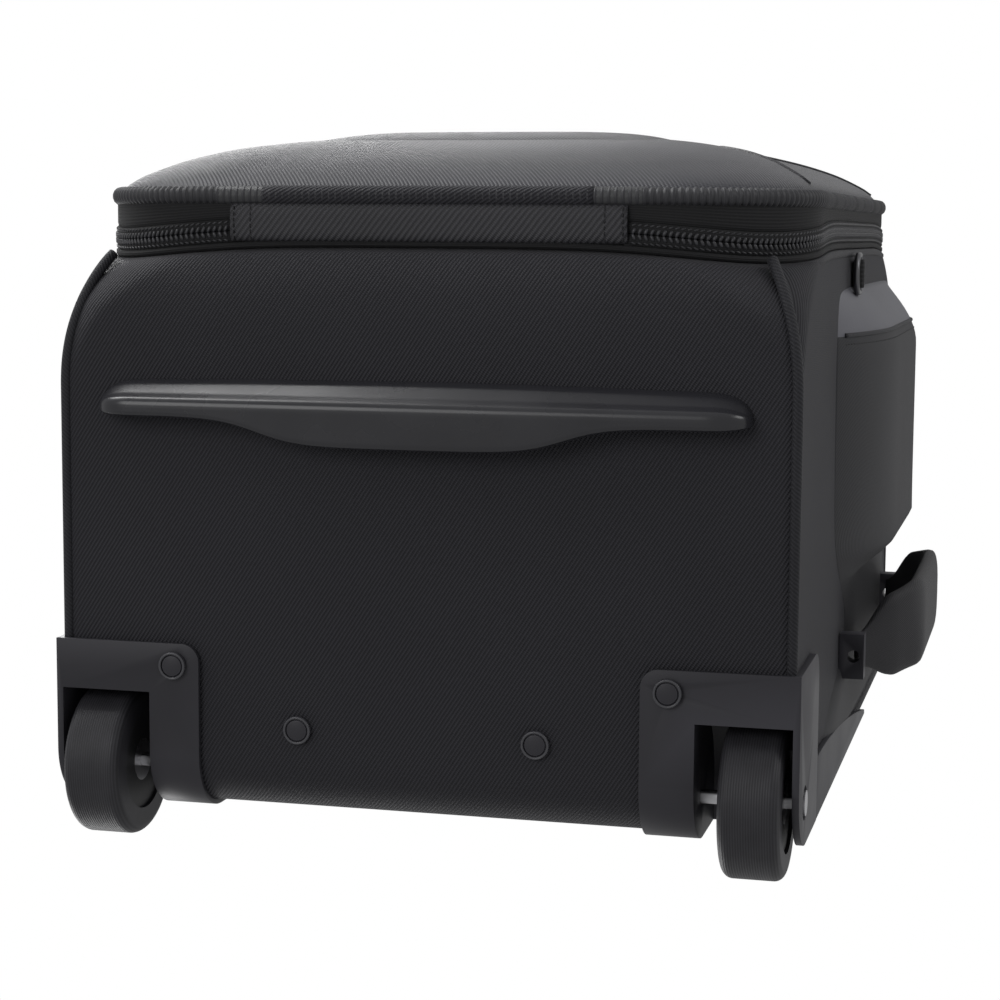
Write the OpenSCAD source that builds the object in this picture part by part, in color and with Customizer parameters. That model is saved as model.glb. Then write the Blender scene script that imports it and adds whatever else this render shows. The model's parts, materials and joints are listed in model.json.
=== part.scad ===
// Upright rolling flight case with a clamshell lid, two recessed wheels and a telescopic handle.
// Origin: centre of the foot bar's flat face, on the floor. +Z up, the lid faces -Y.

/* [Body] */
// Width over the side panels
body_w = 326; // [290:1:400]
// Height of the body, without wheels and feet
body_h = 450; // [370:1:550]
// Depth of the square section
body_d = 186; // [150:1:230]
// Depth of the rounded shoulder in front of the square section
shoulder_d = 62; // [50:1:80]
// How far the shoulder draws in at the top and bottom
shoulder_in = 14; // [6:1:20]
// How far the shoulder draws in at each side
shoulder_side_in = 2; // [0:0.5:6]
// Distance from the middle of the foot bar to the back of the body
foot_to_back = 172; // [150:1:200]
// Thickness of the padded panels
wall = 4; // [3:0.5:6]
// Radius of the two back edges
edge_r = 25; // [20:1:32]
// Corner radius of the square section
corner_r = 8; // [4:1:14]
// Corner radius of the front opening
mouth_r = 60; // [45:1:70]

/* [Lid] */
// Height of the zip tape that is sewn to the body
tape_d = 3; // [2:0.5:6]
// Width of one half of the zip's coil band
coil_d = 5; // [4:0.5:7]
// Depth of the lid's straight rim behind its binding
rim_d = 12; // [8:1:20]
// How far the lid bulges out in front of its rim
crown = 28; // [20:1:40]
// How far the coil stands out from the tape
coil_h = 1; // [0.5:0.25:2]
// Width of the hinge flap
flap_w = 175; // [140:1:200]
// Thickness of the hinge flap
flap_t = 3; // [2:0.5:4]
// Gap between lid and body at the zip
zip_gap = 0.3; // [0.2:0.1:0.6]

/* [Wheels] */
// Diameter of a wheel
wheel_d = 67.2; // [60:0.2:76]
// Width of a wheel
wheel_w = 26.2; // [22:0.2:28]
// How far a wheel's middle lies inside the side panel
wheel_in = 17.4; // [17:0.2:18]
// How far the wheels stand out behind the body
wheel_back = 17; // [14:1:20]
// Height of the body above the floor
base_z = 14.2; // [12:0.2:18]
// Diameter of the axle bolt
axle_d = 6; // [5:0.5:8]
// Outer diameter of a bearing
bearing_d = 19; // [17:0.5:22]
// Width of a bearing
bearing_w = 6; // [5:0.5:7]

/* [Wheel housings] */
// Thickness of the moulded housings
mould_t = 2.5; // [2:0.25:4]
// How far a housing reaches in from the side panel
housing_in = 64.8; // [61:0.2:73]
// How far the wheel gap reaches in from the side panel
gap_in = 41.5; // [39:0.25:43]
// Gap round the tyre
arch_gap = 2; // [1.5:0.25:4]
// How far a housing reaches in front of the lining that hides its wheel
housing_front = 17; // [12.5:0.5:32.5]
// Height of a housing above its wheel arch
housing_over = 8.5; // [4.5:0.5:32.5]
// Height of the corner guards above the bottom of the body
guard_h = 300; // [200:1:340]

/* [Foot bar] */
// Length of the foot bar
foot_l = 287.2; // [200:1:300]
// Width of the flat face in the middle
foot_w = 17.6; // [12:0.2:24]
// Width of the flat face near the tips
foot_tip_w = 6; // [4:0.5:10]
// Depth of the sloping front of the bar
foot_slope = 11; // [6:1:16]

/* [Trolley] */
// Distance of a tube from the middle of the case
tube_x = 53.2; // [45:0.2:75]
// Width of an outer tube
tube_w = 22; // [20:0.5:26]
// Depth of an outer tube
tube_d = 14; // [13:0.5:18]
// Wall of every tube
tube_t = 1; // [0.8:0.1:1.5]
// Gap between a tube and the next one
tube_gap = 0.3; // [0.2:0.05:0.5]
// Width of the grip
grip_w = 132; // [120:1:170]
// Depth of the grip
grip_d = 22; // [18:1:26]
// Height of the grip
grip_h = 24; // [18:1:30]
// Travel of the release button
button_travel = 3; // [2:0.5:4]

/* [Handles] */
// Distance of the side handle's middle below the top of the body
side_handle_down = 164.2; // [144:0.2:194]
// Distance between the side handle's two pivots
side_handle_l = 190; // [150:1:210]
// Width of the handles' padding
handle_w = 44; // [30:1:46]
// How far the side handle stands off the side panel
handle_off = 36; // [30:1:45]
// Length of the top handle
top_handle_l = 170; // [140:1:200]
// Travel of the top handle when it is lifted
top_lift = 10; // [6:1:14]

/* [Pockets] */
// How far the side pockets bulge out
pocket_bulge = 23; // [10:1:26]
// Height of the side pockets
pocket_h = 300; // [220:1:320]
// Depth of the side pockets
pocket_d = 138; // [100:1:145]
// Thickness of the flat pocket on the lid
front_pocket_t = 5; // [3:0.5:10]

/* [Hidden] */
$fn = 64;
eps = 0.01;
run = 0.05;
clear = 0.3;
side_x = body_w / 2;
back_y = foot_to_back;
square_y = back_y - body_d;
mouth_y = square_y - shoulder_d;
top_z = base_z + body_h;
mid_z = base_z + body_h / 2;
// The zip runs round one outline, which the shoulder ends in
zip_w = body_w - 2 * shoulder_side_in;
zip_h = body_h - 2 * shoulder_in;
zip_z0 = base_z + shoulder_in;
zip_z1 = top_z - shoulder_in;
tape_y = mouth_y - tape_d;
split_y = tape_y - coil_d;
lid_y = split_y - coil_d;
bind_y = lid_y - rim_d;
bind_d = 5;
bind_h = 2;
hinge_z = zip_z0 - flap_t;
flap_back = 1;
flap_front = 8;
// Wheels
wheel_r = wheel_d / 2;
wheel_y = back_y + wheel_back - wheel_r;
arch_r = wheel_r + arch_gap;
wheel_x = side_x - wheel_in;
gap_x = side_x - gap_in;
shell_x = side_x + mould_t;
cheek_t = 3;
housing_x = side_x - housing_in;
housing_h = wheel_d + arch_gap + mould_t - base_z + housing_over;
hub_r = 22;
head_r = 5.5;
head_h = 2;
// Rivets of the housings and of the trolley's foot
rivet_r = 2.4;
rivet_head_r = 4.5;
rivet_ring_r = 6.2;
rivet_x = housing_x + 11.8;
base_rivet_y = back_y - 38.9;
// Trolley
tube_y = base_rivet_y;
base_t = 4;
tray_h = 25;
tray_t = 2.5;
tray_w = grip_w + 2;
tray_d = grip_d + 2;
tray_flange = 6;
tray_z = top_z - tray_h;
outer_z = base_z + wall + base_t;
lining_t = 2.5;
lining_y = min(tube_y - tray_d / 2 - tray_t, wheel_y - arch_r - mould_t) - clear - lining_t;
housing_y = lining_y - housing_front;
housing_l = back_y - housing_y;
rivet_y = housing_y + 9.7;
mid_w = tube_w - 2 * (tube_t + tube_gap);
mid_d = tube_d - 2 * (tube_t + tube_gap);
inner_w = mid_w - 2 * (tube_t + tube_gap);
inner_d = mid_d - 2 * (tube_t + tube_gap);
tube_step = 4;
grip_z = tray_z + tray_t + 1;
button_w = 26;
button_d = 10;
button_h = 8;
button_rise = 2.5;
// Side handle
pivot_x = side_x + 7;
pivot_y = back_y - 51;
side_handle_z = top_z - side_handle_down;
pivot_r = 3;
pad_t = 10;
strap_t = 2.5;
leg_w = 18;
anchor_l = 20;
bow_off = handle_off - (pivot_x - side_x) - pad_t / 2 + 2;
// Top handle
top_y = back_y - 112;
top_anchor_l = 30;
top_anchor_h = 19;
top_strap_w = 30;
top_rise = 16;
// Side pockets
pocket_y = pivot_y - handle_w / 2 - 9 - pocket_d;
pocket_z = top_z - 34 - pocket_h;
// Zip sliders
slider_l = 10;
slider_w = 11;
slider_t = 4;
lug_h = 4;
pull_l = 26;
pull_w = 8;
pull_t = 1.6;
pin_r = 0.8;
slider_x = 14;
// Flat pocket on the lid, on the level middle of its crown
crown_in = 80;
flat_w = zip_w - 2 * crown_in - 2;
flat_h = zip_h - 2 * crown_in - 2;
flat_y = bind_y - crown - eps;
flat_zip_z = mid_z + flat_h / 2 - 26;
flat_zip_w = 8;
// Ring in its webbing tab
ring_z = base_z + 200;
ring_r = 9;
ring_wire = 1.4;
tab_w = 14;

fabric = [0.11, 0.11, 0.12];
lining_colour = [0.35, 0.35, 0.37];
plastic = [0.14, 0.14, 0.15];
metal = [0.7, 0.7, 0.72];
rubber_colour = [0.08, 0.08, 0.085];

// A flat outline drawn in X and Z, made thick from y0 towards the front
module front_slab(y0, depth) {
    translate([0, y0, 0]) rotate([90, 0, 0]) linear_extrude(depth) children();
}

// A flat outline drawn in Y and Z, made thick from x0 towards +X
module side_slab(x0, depth) {
    translate([x0, 0, 0]) rotate([90, 0, 90]) linear_extrude(depth) children();
}

module mirrored(left) {
    mirror([left ? 1 : 0, 0, 0]) children();
}

module both_sides() {
    for (left = [false, true]) mirrored(left) children();
}

module round_rect(w, h, r) {
    translate([-w / 2 + r, -h / 2]) square([w - 2 * r, h]);
    translate([-w / 2, -h / 2 + r]) square([w, h - 2 * r]);
    for (x = [-1, 1], y = [-1, 1]) translate([x * (w / 2 - r), y * (h / 2 - r)]) circle(r);
}

// Outline of the mouth, which the zip follows, grown by g
module mouth_outline(g = 0) {
    translate([0, mid_z]) round_rect(zip_w + 2 * g, zip_h + 2 * g, mouth_r + g);
}

module mouth_ring(y0, depth, outer, inner) {
    front_slab(y0, depth) difference() {
        mouth_outline(outer);
        mouth_outline(inner);
    }
}

// Side view of the square section, grown by g, with its two rounded back edges
module side_outline(g = 0) {
    r = edge_r + g;
    y1 = back_y + g;
    z0 = base_z - g;
    h = body_h + 2 * g;
    translate([square_y, z0]) square([y1 - r - square_y, h]);
    translate([square_y, z0 + r]) square([y1 - square_y, h - 2 * r]);
    for (z = [z0 + r, z0 + h - r]) translate([y1 - r, z]) circle(r);
}

// Side view of what a wheel housing covers, with rounded upper front corner
module housing_outline(g = 0) {
    r = 14;
    intersection() {
        side_outline(g);
        union() {
            translate([housing_y, 0]) square([housing_l + g, base_z + housing_h - r]);
            translate([housing_y + r, 0]) square([housing_l + g - r, base_z + housing_h]);
            translate([housing_y + r, base_z + housing_h - r]) circle(r);
        }
    }
}

// Side view of the wheel well: the arch and all that lies behind and below it
module well_outline(r) {
    translate([wheel_y, wheel_r]) {
        circle(r);
        translate([0, -100]) square([100, 100 + r]);
        translate([-r, -100]) square([100, 100]);
    }
}

// What the panels leave free for a housing: the arch, and the side that the cheek covers
module housing_cut() {
    both_sides() {
        side_slab(gap_x - mould_t, shell_x) well_outline(arch_r + mould_t);
        side_slab(side_x - cheek_t + mould_t, 10) housing_outline(mould_t);
    }
}

module rivet_holes() {
    both_sides() {
        translate([rivet_x, rivet_y, base_z - 10]) cylinder(r = rivet_r, h = 20);
        translate([tube_x, base_rivet_y, base_z - 10]) cylinder(r = rivet_r, h = 20);
    }
}

// The ring of panels seen from the side
module panel_ring(x0 = -side_x + wall, w = body_w - 2 * wall) {
    side_slab(x0, w) difference() {
        side_outline();
        side_outline(-wall);
    }
}

module bottom_panel() {
    color(fabric) difference() {
        intersection() {
            panel_ring();
            translate([-side_x, square_y, 0]) cube([body_w, body_d - edge_r, base_z + wall]);
        }
        housing_cut();
        rivet_holes();
    }
}

module back_panel() {
    color(fabric) difference() {
        intersection() {
            panel_ring();
            translate([-side_x, back_y - edge_r, 0]) cube([body_w, edge_r + 1, top_z - edge_r]);
        }
        housing_cut();
    }
}

module top_panel() {
    color(fabric) difference() {
        union() {
            intersection() {
                panel_ring();
                translate([-side_x, square_y, top_z - wall]) cube([body_w, body_d - edge_r, wall]);
            }
            intersection() {
                panel_ring();
                translate([-side_x, back_y - edge_r, top_z - edge_r]) cube([body_w, edge_r, edge_r]);
            }
        }
        translate([-tray_w / 2 - tray_t, tube_y - tray_d / 2 - tray_t, tray_z - 1])
            cube([tray_w + 2 * tray_t, tray_d + 2 * tray_t, 2 * tray_h]);
    }
}

module side_panel(left) {
    color(fabric) difference() {
        mirrored(left) side_slab(side_x - wall, wall) side_outline();
        housing_cut();
    }
}

// Solid form of the shoulder, from the square section to the mouth, shrunk by g
module shoulder_form(g) {
    hull() {
        front_slab(square_y, eps) translate([0, mid_z])
            round_rect(body_w - 2 * g, body_h - 2 * g, corner_r);
        front_slab(square_y - 0.55 * shoulder_d, eps) translate([0, mid_z])
            round_rect(body_w - 2 * g - 1, body_h - 2 * g - 0.5 * shoulder_in, 0.4 * mouth_r);
        front_slab(mouth_y + eps, eps) mouth_outline(-g);
    }
}

module front_shoulder() {
    color(fabric) difference() {
        shoulder_form(0);
        shoulder_form(wall);
        mouth_ring(mouth_y + 1, 3, -wall, -wall - 1);
        front_slab(square_y + 1, 2) translate([0, mid_z])
            round_rect(body_w - 2 * wall, body_h - 2 * wall, corner_r);
        front_slab(mouth_y + 1, 3) mouth_outline(-wall);
    }
}

// The two sides of the zip end at the hinge flap, which bridges them at the bottom
module flap_gap() {
    translate([-flap_w / 2, lid_y - 50, hinge_z - 10])
        cube([flap_w, 100, 10 + flap_t + wall + 2]);
}

module body_zip_tape() {
    color(fabric) mouth_ring(mouth_y, tape_d, 0, -wall);
}

module body_zip_coil() {
    color(plastic) difference() {
        mouth_ring(tape_y, coil_d - zip_gap / 2, coil_h, coil_h - 3);
        flap_gap();
    }
}

module body_hinge_flap() {
    color(fabric) {
        translate([-flap_w / 2, split_y + zip_gap / 2, hinge_z])
            cube([flap_w, coil_d - zip_gap / 2 + flap_back, flap_t]);
        translate([-flap_w / 2, split_y + zip_gap / 2, zip_z0])
            cube([flap_w, coil_d - zip_gap / 2, 3]);
    }
}

module frame_wire() {
    color(metal) mouth_ring(mouth_y - clear, 2.5, -wall, -wall - 2.5);
}

// A full bellied pocket: flat against the side panel, rounded outside
module side_pocket(left) {
    color(fabric) mirrored(left) hull() {
        for (step = [[0, 0, 6], [8, 3, 20], [18, 18, 30], [pocket_bulge, 34, 34]])
            side_slab(side_x + step[0] * pocket_bulge / 23, eps)
                translate([pocket_y + pocket_d / 2, pocket_z + pocket_h / 2])
                    round_rect(pocket_d - 2 * step[1], pocket_h - 2 * step[1], step[2]);
    }
}

// One moulding: the plate under the body, the leg that wraps its edge, the arch and the cheek
module wheel_housing(left) {
    color(plastic) mirrored(left) difference() {
        union() {
            side_slab(housing_x, shell_x - housing_x) difference() {
                housing_outline(mould_t);
                side_outline();
            }
            side_slab(gap_x - mould_t, shell_x - gap_x + mould_t) intersection() {
                housing_outline(mould_t);
                well_outline(arch_r + mould_t);
            }
            side_slab(shell_x - cheek_t, cheek_t) housing_outline(mould_t);
        }
        side_slab(gap_x, shell_x - cheek_t - gap_x) well_outline(arch_r);
        translate([rivet_x, rivet_y, base_z - 10]) cylinder(r = rivet_r, h = 20);
        translate([gap_x - 20, wheel_y, wheel_r]) rotate([0, 90, 0])
            cylinder(r = axle_d / 2, h = 80);
        translate([shell_x - 1, wheel_y, wheel_r]) rotate([0, 90, 0])
            cylinder(r = head_r + 2, h = 5);
        translate([housing_x, housing_y, base_z - mould_t - 1]) difference() {
            translate([-1, -1, 0]) cube([9, 9, mould_t + 1]);
            translate([8, 8, 0]) cylinder(r = 8, h = mould_t + 1);
        }
    }
}

// Skin over the lower back corner, drawn in to the back edge in one long curve
module corner_guard(left) {
    z0 = base_z + housing_h;
    reach = 26;
    rise = guard_h - housing_h;
    color(plastic) mirrored(left) intersection() {
        difference() {
            translate([side_x - reach, back_y - reach, z0])
                cube([reach + mould_t, reach + mould_t, rise]);
            translate([-side_x, -back_y, 0]) cube([body_w, 2 * back_y, 2 * body_h]);
        }
        side_slab(0, 2 * side_x) translate([back_y - reach, z0]) polygon(concat(
            [[reach + mould_t, rise], [reach + mould_t, 0], [0, 0]],
            [for (t = [0.1:0.1:1]) [reach * pow(t, 1.6), rise * t]]));
        front_slab(back_y + 10, 2 * back_y) translate([side_x - reach, z0]) polygon(concat(
            [[reach + mould_t, rise], [reach + mould_t, 0], [0, 0]],
            [for (t = [0.1:0.1:1]) [reach * pow(t, 1.6), rise * t]]));
    }
}

module axle_at(left) {
    mirrored(left) translate([0, wheel_y, wheel_r]) rotate([0, 90, 0]) children();
}

module axle_bolts() {
    color(metal) for (left = [false, true]) axle_at(left) {
        translate([0, 0, gap_x - mould_t - head_h]) cylinder(r = head_r, h = head_h);
        translate([0, 0, gap_x - mould_t]) cylinder(d = axle_d, h = shell_x - 1 - gap_x + mould_t);
    }
}

module axle_nuts() {
    color(metal) for (left = [false, true]) axle_at(left)
        translate([0, 0, shell_x - 1]) cylinder(r = head_r, h = 1.6);
}

module tyre(left) {
    w = wheel_w;
    shoulder = 4.5;
    color(rubber_colour) axle_at(left) translate([0, 0, wheel_x]) rotate_extrude($fn = 96)
        difference() {
            union() {
                translate([hub_r, -w / 2]) square([wheel_r - hub_r - shoulder, w]);
                translate([hub_r, -w / 2 + shoulder]) square([wheel_r - hub_r, w - 2 * shoulder]);
                for (s = [-1, 1]) translate([wheel_r - shoulder, s * (w / 2 - shoulder)])
                    circle(shoulder);
            }
            translate([0, -w]) square([hub_r, 2 * w]);
        }
}

module hub(left) {
    w = wheel_w - 3;
    color(plastic) axle_at(left) translate([0, 0, wheel_x]) difference() {
        translate([0, 0, -w / 2]) cylinder(r = hub_r, h = w);
        for (s = [-1, 1]) translate([0, 0, s * (w / 2 - bearing_w / 2) - bearing_w / 2 - eps])
            cylinder(d = bearing_d, h = bearing_w + 2 * eps);
        translate([0, 0, -w]) cylinder(d = axle_d + 4, h = 2 * w);
    }
}

module bearings(left) {
    w = wheel_w - 3;
    color(metal) axle_at(left) translate([0, 0, wheel_x]) for (s = [-1, 1])
        translate([0, 0, s * (w / 2 - bearing_w / 2) - bearing_w / 2]) difference() {
            cylinder(d = bearing_d, h = bearing_w);
            translate([0, 0, -1]) cylinder(d = axle_d + 2 * run, h = bearing_w + 2);
        }
}

// A bar that is widest in the middle: its face is level, its front slopes back to the body
module foot_bar() {
    front = -foot_w / 2;
    tip = foot_l / 2;
    color(plastic) intersection() {
        linear_extrude(base_z) {
            polygon(concat(
                [[-tip + 3, front - foot_slope + 2], [0, front - foot_slope],
                    [tip - 3, front - foot_slope + 2], [tip, front - foot_slope + 6],
                    [tip, front + foot_tip_w - 2]],
                [for (x = [tip - 4:-6:-tip]) [x, front + foot_tip_w
                    + (foot_w - foot_tip_w) / (1 + exp((abs(x) / tip - 0.467) / 0.063))]],
                [[-tip, front + foot_tip_w - 2], [-tip, front - foot_slope + 6]]));
        }
        side_slab(-tip - 1, foot_l + 2) polygon([
            [front, 0], [foot_w, 0], [foot_w, base_z],
            [front - foot_slope, base_z], [front - foot_slope * 0.7, base_z * 0.45],
            [front - 1.5, 0.8]]);
    }
}

module rivet_at(x, y, z, grip_t) {
    translate([x, y, z]) {
        translate([0, 0, -2]) cylinder(r = rivet_head_r, h = 2);
        difference() {
            translate([0, 0, -1.2]) cylinder(r = rivet_ring_r, h = 1.2);
            translate([0, 0, -2]) cylinder(r = rivet_head_r, h = 3);
        }
        translate([0, 0, -eps]) cylinder(r = rivet_r, h = grip_t + eps);
        translate([0, 0, grip_t]) cylinder(r = rivet_head_r, h = 1.5);
    }
}

module housing_rivets() {
    color(plastic) both_sides() rivet_at(rivet_x, rivet_y, base_z - mould_t, mould_t + wall);
}

module base_rivets() {
    color(plastic) both_sides() rivet_at(tube_x, base_rivet_y, base_z, wall + base_t);
}

module base_form() {
    depth = tube_d + 12;
    translate([-tube_x - tube_w, tube_y - depth / 2, base_z + wall])
        cube([2 * (tube_x + tube_w), depth, base_t]);
}

module trolley_base() {
    color(plastic) difference() {
        base_form();
        rivet_holes();
    }
}

module tube_at(left, w, d, z0, z1) {
    mirrored(left) translate([tube_x, tube_y, z0]) difference() {
        linear_extrude(z1 - z0) round_rect(w, d, 3);
        translate([0, 0, -1]) linear_extrude(z1 - z0 + 2)
            round_rect(w - 2 * tube_t, d - 2 * tube_t, 2.2);
    }
}

module outer_tube(left) {
    color(metal) tube_at(left, tube_w, tube_d, outer_z, tray_z);
}

module mid_tube(left) {
    color(metal) tube_at(left, mid_w, mid_d, outer_z + tube_step, tray_z + tray_t);
}

module inner_tube(left) {
    color(metal) tube_at(left, inner_w, inner_d, outer_z + 2 * tube_step, grip_z);
}

// Tray in the top panel that the grip drops into, with a rim over the fabric
module trolley_bezel() {
    color(plastic) difference() {
        translate([0, tube_y, 0]) union() {
            translate([0, 0, tray_z]) linear_extrude(tray_h)
                round_rect(tray_w + 2 * tray_t, tray_d + 2 * tray_t, 3);
            translate([0, 0, top_z]) linear_extrude(mould_t)
                round_rect(tray_w + 2 * tray_flange, tray_d + 2 * tray_flange, 8);
        }
        translate([0, tube_y, tray_z + tray_t]) linear_extrude(2 * tray_h)
            round_rect(tray_w, tray_d, 3);
        both_sides() translate([tube_x, tube_y, tray_z - 1]) linear_extrude(tray_h)
            round_rect(mid_w + 2 * clear, mid_d + 2 * clear, 3);
    }
}

module trolley_lining() {
    color(lining_colour) difference() {
        translate([-side_x + wall, lining_y, base_z + wall])
            cube([body_w - 2 * wall, lining_t, body_h - 2 * wall]);
        base_form();
    }
}

module grip() {
    color(plastic) difference() {
        translate([0, tube_y, grip_z]) linear_extrude(grip_h) round_rect(grip_w, grip_d, 9);
        translate([0, tube_y, grip_z + grip_h - button_h - button_travel]) linear_extrude(40)
            round_rect(button_w + 2 * clear, button_d + 2 * clear, 3);
    }
}

module release_button() {
    color(metal) translate([0, tube_y, grip_z + grip_h - button_h + clear])
        linear_extrude(button_h + button_rise) round_rect(button_w, button_d, 3);
}

// Centre line of a handle's bow, as [outward, along] points from one pivot to the other
function bow(l, off) = [[0, -l / 2], [off * 0.35, -l / 2 + 11], [off, -l / 2 + 42],
    [off, l / 2 - 42], [off * 0.35, l / 2 - 11], [0, l / 2]];

// Unit normal of the stretch of a path that starts at point i
function stretch_normal(p, i) = let (d = p[i + 1] - p[i]) [-d[1], d[0]] / norm(d);

// Offset of point i that keeps the band's thickness on both sides of a bend
function mitre(p, i) = let (last = len(p) - 1,
    a = stretch_normal(p, max(i - 1, 0)), b = stretch_normal(p, min(i, last - 1)))
    (a + b) / (1 + a * b);

// A band of thickness t along the bow
module bow_band(l, off, t) {
    p = bow(l, off);
    polygon(concat([for (i = [0:len(p) - 1]) p[i] + mitre(p, i) * t / 2],
        [for (i = [len(p) - 1:-1:0]) p[i] - mitre(p, i) * t / 2]));
}

module side_frame() {
    translate([pivot_x, pivot_y, side_handle_z]) children();
}

module side_handle_anchors() {
    color(plastic) side_frame() for (s = [-1, 1])
        translate([0, 0, s * (side_handle_l / 2 + pivot_r)]) difference() {
            translate([side_x - pivot_x, -11, s > 0 ? clear : -anchor_l / 2 - clear])
                cube([pivot_x - side_x + 5, 22, anchor_l / 2]);
            translate([0, 0, -anchor_l]) cylinder(r = pivot_r + run, h = 2 * anchor_l);
        }
}

module side_handle_strap() {
    color(fabric) side_frame() {
        translate([0, leg_w / 2, 0]) rotate([90, 0, 0]) linear_extrude(leg_w)
            bow_band(side_handle_l, bow_off, strap_t);
        for (s = [0, 1]) mirror([0, 0, s]) translate([0, 0, side_handle_l / 2 - pivot_r]) {
            cylinder(r = pivot_r + 1.5, h = 2 * pivot_r);
            cylinder(r = pivot_r, h = 2 * pivot_r + anchor_l / 2);
        }
    }
}

module side_handle_pad() {
    color(fabric) side_frame() difference() {
        translate([bow_off - pad_t / 2, -handle_w / 2, -side_handle_l / 2 + 45])
            cube([pad_t, handle_w, side_handle_l - 90]);
        translate([0, leg_w / 2, 0]) rotate([90, 0, 0]) linear_extrude(leg_w)
            bow_band(side_handle_l, bow_off, strap_t);
    }
}

// The top handle's strap ends in two crossbars, which lift inside the anchors
module top_frame() {
    translate([0, top_y, top_z]) children();
}

module top_handle_anchors() {
    h = top_anchor_h;
    color(plastic) top_frame() for (s = [-1, 1])
        translate([s * top_handle_l / 2, 0, 0]) difference() {
            translate([-top_anchor_l / 2, -20, 0]) cube([top_anchor_l, 40, h]);
            translate([-top_anchor_l / 2 + 3, -17.5, -1]) cube([top_anchor_l - 6, 35, h - 2]);
            translate([s > 0 ? -top_anchor_l : 0, -top_strap_w / 2 - clear, -1])
                cube([top_anchor_l, top_strap_w + 2 * clear, h - 2]);
        }
}

module top_handle_strap() {
    half = top_handle_l / 2;
    color(fabric) top_frame() {
        front = top_strap_w / 2;
        translate([0, front, 0]) rotate([90, 0, 0]) linear_extrude(top_strap_w) {
            translate([-half, clear]) square([22, strap_t]);
            translate([half - 22, clear]) square([22, strap_t]);
            polygon([[-half + 22, clear], [-half + 36, top_rise], [half - 36, top_rise],
                [half - 22, clear], [half - 22, clear + strap_t],
                [half - 35, top_rise + strap_t], [-half + 35, top_rise + strap_t],
                [-half + 22, clear + strap_t]]);
        }
        for (s = [-1, 1]) translate([s * half - 4, -16.5, clear]) cube([8, 33, 5]);
    }
}

module top_handle_pad() {
    l = top_handle_l - 76;
    color(fabric) top_frame() difference() {
        translate([-l / 2, -handle_w / 2 + 4, top_rise - 4]) cube([l, handle_w - 8, 10]);
        translate([-l / 2 - 1, -top_strap_w / 2, top_rise])
            cube([l + 2, top_strap_w, strap_t]);
    }
}

// Solid form of the lid's padded front, from its rim to its crown, shrunk by g
module crown_form(g) {
    hull() {
        for (step = [[0, 0], [0.35, crown_in / 8], [0.75, 0.45 * crown_in], [1, crown_in]])
            front_slab(bind_y + g - step[0] * crown, eps)
                translate([0, mid_z]) round_rect(zip_w - 2 * g - 2 * step[1],
                    zip_h - 2 * g - 2 * step[1], max(mouth_r - g - step[1] * 0.4, 12));
    }
}

module lid_panel() {
    color(fabric) difference() {
        crown_form(0);
        crown_form(wall);
        front_slab(bind_y + wall + 1, wall + 1.2) mouth_outline(-wall);
    }
}

module lid_rim() {
    color(fabric) mouth_ring(lid_y, rim_d, 0, -wall);
}

module lid_binding() {
    color(fabric) mouth_ring(bind_y + bind_d, bind_d, bind_h, 0);
}

module lid_zip_coil() {
    color(plastic) difference() {
        mouth_ring(split_y - zip_gap / 2, coil_d - zip_gap / 2, coil_h, coil_h - 3);
        flap_gap();
    }
}

module lid_hinge_flap() {
    color(fabric) {
        translate([-flap_w / 2, lid_y - flap_front + bind_h, hinge_z])
            cube([flap_w, coil_d - zip_gap / 2 + flap_front - bind_h, flap_t]);
        translate([-flap_w / 2, lid_y, zip_z0]) cube([flap_w, coil_d - zip_gap / 2, 3]);
    }
}

module lid_pocket() {
    color(fabric) difference() {
        front_slab(flat_y, front_pocket_t) translate([0, mid_z]) round_rect(flat_w, flat_h, 20);
        translate([-flat_w, flat_y - 20, flat_zip_z - flat_zip_w / 2])
            cube([2 * flat_w, 40, flat_zip_w]);
    }
}

module lid_pocket_zip() {
    color(plastic) translate([-flat_w / 2, flat_y - front_pocket_t, flat_zip_z - flat_zip_w / 2])
        cube([flat_w, front_pocket_t, flat_zip_w]);
}

// A slider seen with its zip along X and its face up, at the origin
module slider_form() {
    difference() {
        union() {
            translate([-slider_l / 2, -slider_w / 2, 0]) cube([slider_l, slider_w, slider_t]);
            translate([-1.8, -1.3, slider_t]) cube([3.6, 2.6, lug_h]);
        }
        translate([0, -3, slider_t + lug_h / 2]) rotate([-90, 0, 0])
            cylinder(r = pin_r + run, h = 6, $fn = 32);
    }
}

module pull_form() {
    difference() {
        translate([-1.8, -pull_w / 2, -pull_t / 2]) cube([pull_l, pull_w, pull_t]);
        translate([-3, -1.3 - clear, -2]) cube([7, 2.6 + 2 * clear, 4]);
        translate([pull_l - 8, 0, -2]) cylinder(r = 2.2, h = 4);
    }
    translate([0, -2.6, 0]) rotate([-90, 0, 0]) cylinder(r = pin_r, h = 5.2, $fn = 32);
}

module slider_place(left) {
    mirrored(left) translate([slider_x, split_y, zip_z1 + coil_h + clear]) children();
}

module zip_slider(left) {
    color(metal) slider_place(left) slider_form();
}

module zip_pull(left) {
    color(metal) slider_place(left) translate([0, 0, slider_t + lug_h / 2]) pull_form();
}

module pocket_zip_slider() {
    color(metal) translate([-flat_w / 2 + 14, flat_y - front_pocket_t - clear,
            flat_zip_z]) rotate([90, 0, 0]) {
        slider_form();
        translate([0, 0, slider_t + lug_h]) translate([-3, -2.5, 0]) cube([22, 5, pull_t]);
    }
}

// A ring in a webbing tab, sewn into the front edge of the right side
module ring_place() {
    translate([side_x, square_y - shoulder_d + 12, ring_z]) children();
}

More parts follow.
